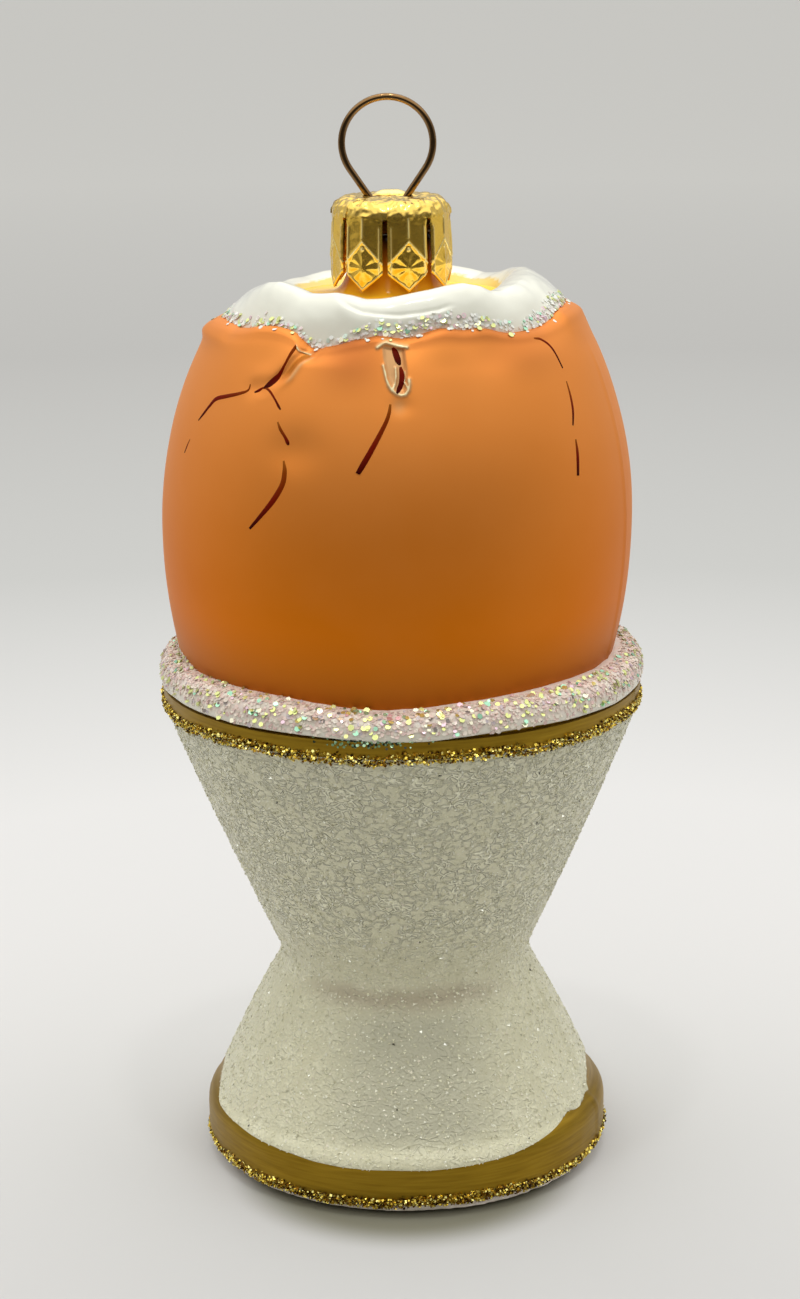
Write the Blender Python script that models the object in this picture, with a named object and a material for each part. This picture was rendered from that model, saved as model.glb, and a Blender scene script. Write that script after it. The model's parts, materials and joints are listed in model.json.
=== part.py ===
"""A blown-glass hanging ornament in the form of a soft-boiled egg in its egg cup.

Three pieces: the glass body, blown in one piece with the egg, its torn-open top,
the yolk and the neck; the pressed gold crown cap that sits over the neck; and the
sprung wire hanger, whose two legs go through the slot in the cap.

Metres, +Z up. The origin is the middle of the flat base, and the front faces -Y.
Azimuths are counted from the front, positive towards +X.
"""

import math

import bmesh
import bpy
from mathutils import Matrix, Vector

MM = 0.001

# Foot and cup
BASE_RADIUS = 20.2 * MM  # the flat that the ornament stands on
FOOT_RADIUS = 22.4 * MM
FOOT_EDGE_HEIGHT = 2.7 * MM  # below it the foot rounds in to the base
FOOT_EDGE_HANDLE = (22.1 * MM, 1.08 * MM)
FOOT_BAND_TOP = 5.4 * MM
FOOT_SHOULDER_RADIUS = 21.2 * MM
FOOT_SHOULDER_HEIGHT = 7.4 * MM
FOOT_SHOULDER_HANDLE = (22.4 * MM, 6.6 * MM)
WAIST_RADIUS = 13.4 * MM
WAIST_HEIGHT = 23.2 * MM
WAIST_ROUNDING = 1.6 * MM
WALL_BULGE = 0.25 * MM  # how far the two flared walls stand out of a straight cone
CUP_RIM_RADIUS = 25.9 * MM
CUP_RIM_BOTTOM = 52.5 * MM
RIM_RADIUS = 26.1 * MM

# The rolled collar that the egg stands in
COLLAR_BOTTOM = 54.8 * MM
COLLAR_WALL_TOP = 56.2 * MM
COLLAR_CREST_RADIUS = 25.0 * MM
COLLAR_CREST_HEIGHT = 57.7 * MM
COLLAR_INNER_HEIGHT = 57.5 * MM
COLLAR_INNER_GAP = 0.3 * MM  # between the collar's inner edge and the egg

# Egg: an ellipse of one radius with a blunter upper half
EGG_RADIUS = 25.3 * MM
EGG_MIDDLE = 72.2 * MM
EGG_LOWER_HALF = 39.5 * MM
EGG_UPPER_HALF = 34.0 * MM
EGG_OFFSET = -0.3 * MM  # the egg stands a little to the left in the cup
EGG_LEAN = 0.014  # and leans right: its run for each metre of height above the middle
SHELL_BOTTOM = 58.4 * MM
SHELL_ROWS = 12
SHELL_TOP = 93.6 * MM  # where the broken shell turns in
SHELL_EDGE_RADIUS = 18.8 * MM
SHELL_EDGE_HEIGHT = 94.7 * MM
SHELL_TURN = (19.35 * MM, 94.3 * MM)  # just before the edge
SHELL_TURN_TEAR = 0.7  # share of the edge's tears there
# The shell's swollen corner: azimuth and half-width in degrees, height, half-height, rise
SHOULDER_AZIMUTH = -85.0
SHOULDER_SPREAD = 24.0
SHOULDER_HEIGHT = 93.55 * MM
SHOULDER_REACH = 1.25 * MM
SHOULDER_RISE = 0.95 * MM
# Where the torn edge is drawn in: azimuth and half-width in degrees, depth
INSET_AZIMUTH = 88.0
INSET_SPREAD = 26.0
INSET_DEPTH = 0.85 * MM
# The torn edge of the shell: azimuth in degrees, height
TORN_EDGE = (
    (-165.0, 95.0 * MM),
    (-148.0, 94.6 * MM),
    (-130.0, 94.0 * MM),
    (-108.0, 93.7 * MM),
    (-92.0, 93.9 * MM),
    (-80.0, 94.4 * MM),
    (-60.0, 94.25 * MM),
    (-48.0, 94.95 * MM),
    (-41.0, 95.1 * MM),
    (-34.0, 94.7 * MM),
    (-26.0, 93.2 * MM),
    (-20.0, 93.6 * MM),
    (-7.0, 94.7 * MM),
    (0.0, 94.5 * MM),
    (13.0, 95.4 * MM),
    (26.0, 95.1 * MM),
    (38.0, 94.3 * MM),
    (50.0, 94.3 * MM),
    (64.0, 95.4 * MM),
    (90.0, 95.4 * MM),
    (118.0, 94.4 * MM),
    (140.0, 94.8 * MM),
    (165.0, 95.2 * MM),
)

# The white's thick rim and the yolk inside it
WHITE_FOOT = (18.5 * MM, 94.8 * MM)
WHITE_OUTER_HANDLE = (17.7 * MM, 96.0 * MM)
WHITE_CREST_RADIUS = 16.3 * MM
WHITE_CREST_HEIGHT = 96.3 * MM
WHITE_INNER_HANDLE = (14.2 * MM, 96.7 * MM)
WHITE_OUTER_RISE = 0.7  # the power by which the crest's rise fades down the outside
WHITE_INNER_RISE = 1.3  # and down the inside
YOLK_RADIUS = 12.0 * MM
YOLK_HEIGHT = 95.9 * MM
YOLK_SLOPE = ((10.4 * MM, 96.0 * MM), (8.6 * MM, 96.2 * MM))
# The white's crest: azimuth in degrees, radius, height
CREST = (
    (-165.0, 16.0 * MM, 97.1 * MM),
    (-150.0, 16.0 * MM, 96.85 * MM),
    (-139.0, 16.0 * MM, 96.45 * MM),
    (-125.0, 15.8 * MM, 96.3 * MM),
    (-105.0, 15.4 * MM, 96.8 * MM),
    (-88.0, 15.1 * MM, 97.6 * MM),
    (-66.0, 15.9 * MM, 98.4 * MM),
    (-56.0, 16.2 * MM, 99.0 * MM),
    (-48.0, 16.3 * MM, 99.2 * MM),
    (-35.0, 16.3 * MM, 98.35 * MM),
    (-23.0, 16.3 * MM, 98.6 * MM),
    (-12.0, 16.3 * MM, 98.0 * MM),
    (1.0, 16.3 * MM, 98.4 * MM),
    (17.0, 16.3 * MM, 99.25 * MM),
    (24.0, 16.3 * MM, 99.4 * MM),
    (35.0, 16.3 * MM, 98.3 * MM),
    (47.0, 16.0 * MM, 98.7 * MM),
    (57.0, 15.5 * MM, 98.85 * MM),
    (70.0, 14.8 * MM, 98.9 * MM),
    (85.0, 14.0 * MM, 99.05 * MM),
    (98.0, 13.7 * MM, 99.15 * MM),
    (110.0, 14.0 * MM, 98.8 * MM),
    (122.0, 14.8 * MM, 97.9 * MM),
    (134.0, 15.6 * MM, 96.95 * MM),
    (143.0, 16.0 * MM, 96.6 * MM),
    (160.0, 16.0 * MM, 97.3 * MM),
)

# Neck
NECK_OFFSET = -0.6 * MM  # the neck sits a little to the left of the cup's axis
NECK_RADIUS = 4.6 * MM
NECK_TOP = 103.0 * MM
NECK_FLARE_RADIUS = 7.0 * MM
NECK_FLARE_HEIGHT = 96.45 * MM
NECK_FLARE_HANDLE = (4.9 * MM, 96.6 * MM)
NECK_STRAIGHT_HEIGHT = 99.5 * MM  # above it the neck is straight
NECK_ROUNDING = 0.4 * MM

# Crown cap
CAP_RADIUS = 6.25 * MM
CAP_SHEET = 0.35 * MM
CAP_TOP = 106.6 * MM
CAP_SHOULDER = 1.3 * MM  # rounding between the cap's top and its skirt
CAP_FLAT_RADIUS = 3.2 * MM  # of the middle row on the cap's top
CAP_PETALS = 8
CAP_PETAL_AZIMUTH = 16.5  # degrees, the middle of one petal
CAP_SLIT_WIDTH = 5.0  # degrees
CAP_SLIT_TOP = 104.8 * MM
CAP_PETAL_SHOULDER = 99.1 * MM  # where a petal's sides turn in to its point
CAP_PETAL_TIP = 97.3 * MM
CAP_PETAL_FLARE = 0.2 * MM
CAP_FOLD = 0.12 * MM  # how far a petal's middle fold stands out
CAP_FOLD_TOP = 102.8 * MM
CAP_FOLD_MIDDLE = 100.8 * MM
CAP_FOLD_BOTTOM = 99.4 * MM
CAP_PETAL_PLACES = (-1.0, -0.5, 0.0, 0.5, 1.0)  # lines down a petal, from edge to edge
CAP_SHOULDER_STEPS = 4
BRIDGE_RADIUS = 2.35 * MM
BRIDGE_HEIGHT = 0.55 * MM
BRIDGE_SETBACK = 0.85 * MM
BRIDGE_TOP_SHARE = 0.85  # its top's radius as a share of its foot's
BRIDGE_DEPTH_SHARE = 0.62  # its front-to-back size as a share of its width
BRIDGE_STEPS = 24
SLOT_LENGTH = 5.3 * MM
SLOT_WIDTH = 1.4 * MM
SLOT_CUT_DEPTH = 4.0 * MM

# Wire hanger
WIRE_DIAMETER = 0.75 * MM
LOOP_OFFSET = -0.9 * MM
LOOP_SETBACK = -0.2 * MM  # the wire and the slot sit a little in front of the middle
LOOP_RADIUS = 4.78 * MM  # to the middle of the wire
LOOP_HEIGHT = 112.1 * MM
LEG_SLANT = math.radians(34.5)  # from upright
LEG_BEND_HEIGHT = 105.9 * MM
LEG_BEND_REACH = 0.6 * MM  # how far the bend runs along the leg to each side
LEG_STRAIGHT_SHARES = (0.33, 0.66)
LEG_END_HEIGHT = 103.6 * MM

BODY_STEPS = 64
MERGE_DISTANCE = 0.01 * MM
SMOOTH_ANGLE = math.radians(40)
LOOP_STEPS = 24
LEG_BEND_STEPS = 4
WIRE_RESOLUTION = 2

# Finishes: linear colour, roughness, metallic
LACQUERED_GLASS = ((0.62, 0.22, 0.05), 0.45, 0.0)
GOLD_PLATED_BRASS = ((0.83, 0.58, 0.16), 0.22, 1.0)
ANTIQUE_BRASS = ((0.30, 0.20, 0.10), 0.3, 1.0)


def clear_scene():
    for item in list(bpy.data.objects):
        bpy.data.objects.remove(item, do_unlink=True)


def make_material(name, colour, roughness, metallic):
    material = bpy.data.materials.new(name)
    material.use_nodes = True
    shader = material.node_tree.nodes["Principled BSDF"]
    shader.inputs["Base Color"].default_value = (*colour, 1.0)
    shader.inputs["Roughness"].default_value = roughness
    shader.inputs["Metallic"].default_value = metallic
    return material


def add_object(name, mesh, material):
    """A mesh as a named object in the scene, shaded smooth but for its sharp edges."""
    item = bpy.data.objects.new(name, mesh)
    bpy.context.collection.objects.link(item)
    mesh.materials.append(material)
    mesh.shade_smooth()
    mesh.set_sharp_from_angle(angle=SMOOTH_ANGLE)
    return item


def arc(centre, radius, start, end, steps):
    """Points of an arc in the radius and height plane, angles in degrees from outwards."""
    points = []
    for i in range(steps + 1):
        angle = math.radians(start + (end - start) * i / steps)
        points.append((centre[0] + radius * math.cos(angle), centre[1] + radius * math.sin(angle)))
    return points


def curve(start, handle, end, steps):
    """Points of a quadratic curve that leaves start and reaches end by way of handle."""
    points = []
    for i in range(steps + 1):
        t = i / steps
        a, b, c = (1 - t) ** 2, 2 * t * (1 - t), t * t
        points.append(tuple(a * s + b * h + c * e for s, h, e in zip(start, handle, end)))
    return points


def egg_radius(height):
    half = EGG_UPPER_HALF if height > EGG_MIDDLE else EGG_LOWER_HALF
    return EGG_RADIUS * math.sqrt(1 - ((height - EGG_MIDDLE) / half) ** 2)


def bump(azimuth, middle, half_width):
    """A smooth swelling, 1 at its middle, that dies away to both sides."""
    off = (azimuth - middle + 180) % 360 - 180
    return math.exp(-((off / half_width) ** 2))


def around(points, azimuth):
    """The value at an azimuth of a closed line of azimuth and value pairs."""
    first = points[0][0]
    turn = (azimuth - first) % 360 + first
    closed = [*points, (first + 360, points[0][1])]
    for (start, value), (end, next_value) in zip(closed, closed[1:]):
        if turn <= end:
            return value + (next_value - value) * (turn - start) / (end - start)


def crest_rise(azimuth):
    heights = [(at, height) for at, _, height in CREST]
    return around(heights, azimuth) - WHITE_CREST_HEIGHT


def crest_draw_in(azimuth):
    radii = [(at, radius) for at, radius, _ in CREST]
    return WHITE_CREST_RADIUS - around(radii, azimuth)


def edge_rise(azimuth):
    return around(TORN_EDGE, azimuth) - SHELL_EDGE_HEIGHT


def edge_draw_in(azimuth):
    return INSET_DEPTH * bump(azimuth, INSET_AZIMUTH, INSET_SPREAD)


def flared_wall(wide, narrow, places):
    """Points of a flared wall, each at its share of the way from the wide end in."""
    points = []
    for place in places:
        point = wide.lerp(narrow, place)
        points.append((point.x + WALL_BULGE * math.sin(math.pi * place), point.y))
    return points


def foot_and_cup_profile():
    """From the middle of the base up to the cup's edge."""
    foot_wall = (FOOT_RADIUS, FOOT_BAND_TOP)
    shoulder = (FOOT_SHOULDER_RADIUS, FOOT_SHOULDER_HEIGHT)
    waist = (WAIST_RADIUS, WAIST_HEIGHT)
    rim = (CUP_RIM_RADIUS, CUP_RIM_BOTTOM)
    below = (Vector(shoulder) - Vector(waist)).normalized() * WAIST_ROUNDING + Vector(waist)
    above = (Vector(rim) - Vector(waist)).normalized() * WAIST_ROUNDING + Vector(waist)
    points = [(0.0, 0.0)]
    points += curve((BASE_RADIUS, 0.0), FOOT_EDGE_HANDLE, (FOOT_RADIUS, FOOT_EDGE_HEIGHT), 4)
    points += curve(foot_wall, FOOT_SHOULDER_HANDLE, shoulder, 3)
    points += flared_wall(Vector(shoulder), below, (0.3, 0.65))
    points += curve(tuple(below), waist, tuple(above), 4)
    points += flared_wall(Vector(rim), above, (0.65, 0.3, 0.0))
    return points


def collar_and_egg_profile():
    """From the cup's edge up over the collar and the shell to where the shell is torn."""
    crest = (COLLAR_CREST_RADIUS, COLLAR_CREST_HEIGHT)
    inner = (egg_radius(COLLAR_INNER_HEIGHT) + COLLAR_INNER_GAP, COLLAR_INNER_HEIGHT)
    points = [(RIM_RADIUS, COLLAR_BOTTOM)]
    points += curve((RIM_RADIUS, COLLAR_WALL_TOP), (RIM_RADIUS, COLLAR_CREST_HEIGHT), crest, 4)
    points.append(inner)
    for i in range(SHELL_ROWS + 1):
        height = SHELL_BOTTOM + (SHELL_TOP - SHELL_BOTTOM) * i / SHELL_ROWS
        points.append((egg_radius(height), height))
    return points


def top_profile():
    """From the torn shell over the white and the yolk to the middle of the neck's end.

    Each point has its radius, its height, its share of the torn edge's shape and its
    share of the crest's.
    """
    crest = (WHITE_CREST_RADIUS, WHITE_CREST_HEIGHT)
    points = [
        (*SHELL_TURN, SHELL_TURN_TEAR, 0.0),
        (SHELL_EDGE_RADIUS, SHELL_EDGE_HEIGHT, 1.0, 0.0),
    ]
    outer = curve(WHITE_FOOT, WHITE_OUTER_HANDLE, crest, 5)
    inner = curve(crest, WHITE_INNER_HANDLE, (YOLK_RADIUS, YOLK_HEIGHT), 4)[1:]
    flare = (NECK_FLARE_RADIUS, NECK_FLARE_HEIGHT)
    yolk = [*YOLK_SLOPE, *curve(flare, NECK_FLARE_HANDLE, (NECK_RADIUS, NECK_STRAIGHT_HEIGHT), 4)]
    neck = [
        (NECK_RADIUS, NECK_TOP - NECK_ROUNDING),
        (NECK_RADIUS - NECK_ROUNDING, NECK_TOP),
        (0.0, NECK_TOP),
    ]
    for i, (radius, height) in enumerate(outer):
        share = i / (len(outer) - 1)
        points.append((radius, height, 1 - share, share**WHITE_OUTER_RISE))
    for i, (radius, height) in enumerate(inner):
        share = (i + 1) / len(inner)
        points.append((radius, height, 0.0, (1 - share) ** WHITE_INNER_RISE))
    points += [(radius, height, 0.0, 0.0) for radius, height in yolk + neck]
    return points


def side_shift(radius, height):
    """How far a point lies to the side: the egg leans, and the neck sits left of it."""
    if height <= COLLAR_CREST_HEIGHT:
        return 0.0
    lean = EGG_OFFSET + EGG_LEAN * (height - EGG_MIDDLE)
    if height < SHELL_EDGE_HEIGHT or radius > YOLK_RADIUS:
        return lean
    share = max(0.0, (radius - NECK_FLARE_RADIUS) / (YOLK_RADIUS - NECK_FLARE_RADIUS))
    return NECK_OFFSET + (lean - NECK_OFFSET) * share


def shoulder_swelling(azimuth, height):
    across = bump(azimuth, SHOULDER_AZIMUTH, SHOULDER_SPREAD)
    return SHOULDER_RISE * across * math.exp(-(((height - SHOULDER_HEIGHT) / SHOULDER_REACH) ** 2))


def glass_body():
    """The whole blown body, turned from its profile and then swollen and torn at the top."""
    plain = foot_and_cup_profile() + collar_and_egg_profile()
    profile = [(radius, height, 0.0, 0.0) for radius, height in plain] + top_profile()
    bm = bmesh.new()
    tear = bm.verts.layers.float.new("tear")
    swell = bm.verts.layers.float.new("swell")
    verts = []
    for radius, height, tear_share, swell_share in profile:
        vert = bm.verts.new((0.0, -radius, height))
        vert[tear] = tear_share
        vert[swell] = swell_share
        verts.append(vert)
    edges = [bm.edges.new(pair) for pair in zip(verts, verts[1:])]
    bmesh.ops.spin(
        bm, geom=verts + edges, cent=(0, 0, 0), axis=(0, 0, 1), angle=math.tau, steps=BODY_STEPS
    )
    bmesh.ops.remove_doubles(bm, verts=bm.verts[:], dist=MERGE_DISTANCE)
    for vert in bm.verts:
        azimuth = math.degrees(math.atan2(vert.co.x, -vert.co.y))
        radius = vert.co.xy.length
        shift = side_shift(radius, vert.co.z)
        outward = -vert[tear] * edge_draw_in(azimuth) - vert[swell] * crest_draw_in(azimuth)
        if radius > WHITE_CREST_RADIUS:
            outward += shoulder_swelling(azimuth, vert.co.z)
        if outward:
            vert.co.xy *= 1 + outward / radius
        vert.co.z += vert[tear] * edge_rise(azimuth) + vert[swell] * crest_rise(azimuth)
        vert.co.x += shift
    bmesh.ops.recalc_face_normals(bm, faces=bm.faces[:])
    mesh = bpy.data.meshes.new("glass_body")
    bm.to_mesh(mesh)
    bm.free()
    return add_object("glass_body", mesh, make_material("lacquered_glass", *LACQUERED_GLASS))


def petal_angles():
    """Azimuths round the cap, each with its place across its petal: -1 to 1, None in a slit."""
    pitch = 360 / CAP_PETALS
    half = (pitch - CAP_SLIT_WIDTH) / 2
    angles = []
    for petal in range(CAP_PETALS):
        middle = CAP_PETAL_AZIMUTH + pitch * petal
        for place in CAP_PETAL_PLACES:
            angles.append((middle + half * place, place))
    return angles


def cap_rows(place):
    """Radius and height down one line of the cap, from its middle to a petal's lower edge."""
    shoulder_centre = (CAP_RADIUS - CAP_SHOULDER, CAP_TOP - CAP_SHOULDER)
    fold = CAP_FOLD * (1 - abs(place))
    edge = CAP_PETAL_SHOULDER + (CAP_PETAL_TIP - CAP_PETAL_SHOULDER) * (1 - abs(place))
    rows = [(CAP_FLAT_RADIUS, CAP_TOP)]
    rows += arc(shoulder_centre, CAP_SHOULDER, 90, 0, CAP_SHOULDER_STEPS)
    rows.append((CAP_RADIUS, CAP_SLIT_TOP))
    rows.append((CAP_RADIUS + fold, CAP_FOLD_TOP))
    rows.append((CAP_RADIUS + fold + CAP_PETAL_FLARE / 2, CAP_FOLD_MIDDLE))
    rows.append((CAP_RADIUS + fold + CAP_PETAL_FLARE, CAP_FOLD_BOTTOM))
    rows.append((CAP_RADIUS + CAP_PETAL_FLARE, edge))
    return rows


def cap_sheet():
    """The pressed sheet with its petals and slits, given its thickness inwards."""
    slit_row = CAP_SHOULDER_STEPS + 2  # the slits are open below this row
    bm = bmesh.new()
    middle = bm.verts.new((0.0, 0.0, CAP_TOP))
    columns = []
    places = []
    for azimuth, place in petal_angles():
        turn = Matrix.Rotation(math.radians(azimuth), 3, "Z")
        columns.append([bm.verts.new(turn @ Vector((0, -r, z))) for r, z in cap_rows(place)])
        places.append(place)
    for i, left in enumerate(columns):
        right = columns[(i + 1) % len(columns)]
        in_slit = places[i] == 1.0
        bm.faces.new((middle, left[0], right[0]))
        for row in range(slit_row if in_slit else len(left) - 1):
            bm.faces.new((left[row], left[row + 1], right[row + 1], right[row]))
    mesh = bpy.data.meshes.new("cap")
    bmesh.ops.recalc_face_normals(bm, faces=bm.faces[:])
    bm.to_mesh(mesh)
    bm.free()
    cap = add_object("cap", mesh, make_material("gold_plated_brass", *GOLD_PLATED_BRASS))
    solidify = cap.modifiers.new("thickness", "SOLIDIFY")
    solidify.thickness = CAP_SHEET
    solidify.offset = -1.0
    solidify.use_even_offset = True
    return cap


def cutter(name, mesh_maker):
    """A hidden tool object whose mesh mesh_maker fills."""
    bm = bmesh.new()
    mesh_maker(bm)
    mesh = bpy.data.meshes.new(name)
    bm.to_mesh(mesh)
    bm.free()
    item = bpy.data.objects.new(name, mesh)
    bpy.context.collection.objects.link(item)
    item.hide_render = True
    item.display_type = "WIRE"
    return item


def bridge_mesh(bm):
    """The low raised bridge behind the slot."""
    depth = BRIDGE_HEIGHT + CAP_SHEET / 2
    bmesh.ops.create_cone(
        bm,
        cap_ends=True,
        segments=BRIDGE_STEPS,
        radius1=BRIDGE_RADIUS,
        radius2=BRIDGE_RADIUS * BRIDGE_TOP_SHARE,
        depth=depth,
        matrix=Matrix.Translation((0, BRIDGE_SETBACK, CAP_TOP + BRIDGE_HEIGHT - depth / 2)),
    )
    bmesh.ops.scale(
        bm,
        vec=(1.0, BRIDGE_DEPTH_SHARE, 1.0),
        space=Matrix.Translation((0, -BRIDGE_SETBACK, 0)),
        verts=bm.verts[:],
    )


def slot_mesh(bm):
    """The slot that the wire's legs go through."""
    size = Matrix.Diagonal((SLOT_LENGTH, SLOT_WIDTH, SLOT_CUT_DEPTH, 1.0))
    place = Matrix.Translation((LOOP_OFFSET - NECK_OFFSET, LOOP_SETBACK, CAP_TOP))
    bmesh.ops.create_cube(bm, size=1.0, matrix=place @ size)


def crown_cap():
    cap = cap_sheet()
    for name, maker, operation in (
        ("bridge", bridge_mesh, "UNION"),
        ("slot", slot_mesh, "DIFFERENCE"),
    ):
        tool = cutter("cap_" + name + "_tool", maker)
        tool.location.x = NECK_OFFSET
        boolean = cap.modifiers.new(name, "BOOLEAN")
        boolean.operation = operation
        boolean.object = tool
        boolean.solver = "EXACT"
    cap.location.x = NECK_OFFSET
    return cap


def hanger_points():
    """The wire's middle line in its own upright plane, from one end to the other."""
    tangent = Vector((LOOP_RADIUS * math.cos(LEG_SLANT), -LOOP_RADIUS * math.sin(LEG_SLANT)))
    drop = LOOP_HEIGHT + tangent.y - LEG_BEND_HEIGHT
    bend = Vector((tangent.x - drop * math.tan(LEG_SLANT), LEG_BEND_HEIGHT - LOOP_HEIGHT))
    along = Vector((math.sin(LEG_SLANT), math.cos(LEG_SLANT))) * LEG_BEND_REACH
    leg = [(bend.x, LEG_END_HEIGHT - LOOP_HEIGHT)]
    start = (bend.x, bend.y - LEG_BEND_REACH)
    leg += curve(start, tuple(bend), tuple(bend + along), LEG_BEND_STEPS)
    leg += [tuple((bend + along).lerp(tangent, share)) for share in LEG_STRAIGHT_SHARES]
    slant = math.degrees(LEG_SLANT)
    loop = arc((0.0, 0.0), LOOP_RADIUS, -slant, 180 + slant, LOOP_STEPS)
    return leg + loop + [(-x, z) for x, z in reversed(leg)]


def wire_hanger():
    data = bpy.data.curves.new("hanger_wire", "CURVE")
    data.dimensions = "3D"
    data.bevel_depth = WIRE_DIAMETER / 2
    data.bevel_resolution = WIRE_RESOLUTION
    data.use_fill_caps = True
    points = hanger_points()
    spline = data.splines.new("POLY")
    spline.points.add(len(points) - 1)
    for point, (x, z) in zip(spline.points, points):
        point.co = (x, 0.0, z, 1.0)
    data.materials.append(make_material("antique_brass_wire", *ANTIQUE_BRASS))
    wire = bpy.data.objects.new("hanger_wire", data)
    wire.location = (LOOP_OFFSET, LOOP_SETBACK, LOOP_HEIGHT)
    bpy.context.collection.objects.link(wire)
    return wire


def main():
    clear_scene()
    glass_body()
    crown_cap()
    wire_hanger()


main()
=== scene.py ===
import json
import math

import bpy
import numpy as np
from bpy.props import FloatProperty, FloatVectorProperty, IntProperty, PointerProperty
from mathutils import Matrix, Vector, noise

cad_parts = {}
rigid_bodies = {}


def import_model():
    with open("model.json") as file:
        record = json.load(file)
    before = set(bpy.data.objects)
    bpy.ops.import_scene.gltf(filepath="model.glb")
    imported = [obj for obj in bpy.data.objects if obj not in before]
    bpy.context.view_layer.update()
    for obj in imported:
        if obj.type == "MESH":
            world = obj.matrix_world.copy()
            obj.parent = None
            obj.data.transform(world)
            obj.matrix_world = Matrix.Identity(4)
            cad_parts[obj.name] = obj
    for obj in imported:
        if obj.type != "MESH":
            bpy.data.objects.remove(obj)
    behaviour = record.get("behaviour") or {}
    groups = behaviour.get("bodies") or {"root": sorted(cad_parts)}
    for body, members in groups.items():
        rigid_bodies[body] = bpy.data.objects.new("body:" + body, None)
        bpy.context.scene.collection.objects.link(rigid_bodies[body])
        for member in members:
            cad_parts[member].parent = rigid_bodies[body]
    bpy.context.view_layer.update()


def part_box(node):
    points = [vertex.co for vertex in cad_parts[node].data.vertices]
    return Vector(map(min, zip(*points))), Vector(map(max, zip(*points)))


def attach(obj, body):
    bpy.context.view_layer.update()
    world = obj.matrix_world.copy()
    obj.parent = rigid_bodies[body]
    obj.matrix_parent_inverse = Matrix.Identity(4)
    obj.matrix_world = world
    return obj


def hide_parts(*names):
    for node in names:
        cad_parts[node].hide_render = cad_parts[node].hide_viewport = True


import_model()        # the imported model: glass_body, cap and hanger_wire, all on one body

bl_info = {
    "name": "Glass egg ornament",
    "version": (1, 0, 0),
    "blender": (4, 5, 0),
    "location": "View3D > Sidebar > Ornament",
    "description": "Builds a blown-glass hanging ornament in the form of a boiled egg in its egg cup",
    "category": "Object",
}

# Lengths in the shape functions are millimetres and angles are degrees. Azimuths are
# counted from the front, positive towards +X.
MM = 0.001
BODY = "root"
WIRE_LOW, WIRE_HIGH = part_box("hanger_wire")


def linear(hex_colour):
    """An sRGB hex colour as linear red, green and blue."""
    channels = [int(hex_colour[i : i + 2], 16) / 255 for i in (1, 3, 5)]
    return tuple(c / 12.92 if c <= 0.04045 else ((c + 0.055) / 1.055) ** 2.4 for c in channels)


def length(label, description, default):
    return FloatProperty(name=label, description=description, default=default, unit="LENGTH", precision=5)


def colour(label, description, hex_colour):
    return FloatVectorProperty(
        name=label, description=description, default=linear(hex_colour), subtype="COLOR", min=0, max=1
    )


class ORNAMENT_PG_sizes(bpy.types.PropertyGroup):
    """Sizes of the ornament's details"""

    coat: length("Frost coat", "Thickness of the frosted coat on the cup", 0.12 * MM)
    wire: length("Wire", "Diameter of the hanger's wire", WIRE_HIGH.y - WIRE_LOW.y)
    cap_sheet: length("Cap sheet", "Thickness of the cap's pressed sheet", 0.35 * MM)
    gold_grain: length("Gold grain", "Width of a grain of gold glitter", 0.3 * MM)
    clear_flake: length("Clear flake", "Width of a flake of clear glitter", 0.44 * MM)
    frost_chip: length("Frost chip", "Width of a chip of the glass frost", 0.34 * MM)
    gold_count: IntProperty(name="Gold grains", description="Grains of gold glitter", default=14000, min=1)
    clear_count: IntProperty(
        name="Clear flakes", description="Flakes of clear glitter", default=9200, min=1,
    )
    frost_count: IntProperty(name="Frost chips", description="Chips of glass frost", default=24000, min=1)


class ORNAMENT_PG_colours(bpy.types.PropertyGroup):
    """Colours of the ornament's finishes"""

    shell: colour("Shell", "Lacquer of the egg shell", "#E8800E")
    # Painted highlight: a lighter, pinker copy of the shell lacquer for the top of the shell, where the light
    # from above falls
    shell_lit_top: colour("Shell, lit side", "Pinker lacquer towards the top of the shell", "#FFA04C")
    white: colour("Egg white", "Glossy paint of the egg's white", "#FFFEEC")
    yolk: colour("Yolk", "Lacquer of the yolk", "#FFC428")
    amber: colour("Neck", "Dark lacquer on the neck", "#E09A24")
    frost: colour("Frost", "Coat of the cup", "#E4DFBC")
    gold: colour("Gold paint", "Painted bands", "#B4922E")
    crack: colour("Cracks", "Brushed crack lines", "#8A3C00")
    cap: colour("Cap", "Gold-plated cap", "#FFD257")
    wire: colour("Wire", "Antique brass wire", "#8E6E48")
    floor: colour("Floor", "Studio floor", "#D8D7D5")


# ---------------------------------------------------------------- modelling


def only(piece):
    """Leaves one object selected and active."""
    bpy.ops.object.select_all(action="DESELECT")
    piece.select_set(True)
    bpy.context.view_layer.objects.active = piece


def in_order(piece):
    """Rebuilds a piece with its vertices and faces in a fixed order.

    Merging and subdividing leave them in an order that differs from run to run, and the glitter is
    spread by the order of the faces.
    """
    mesh = piece.data
    places = vertices_of(piece)
    order = np.lexsort(np.round(places, 8).T)
    new_index = np.empty(len(order), int)
    new_index[order] = np.arange(len(order))
    faces = []
    for face in mesh.polygons:
        corners = [int(new_index[corner]) for corner in face.vertices]
        first = corners.index(min(corners))
        faces.append(corners[first:] + corners[:first])
    mesh.clear_geometry()
    mesh.from_pydata(places[order].tolist(), [], sorted(faces))


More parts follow.
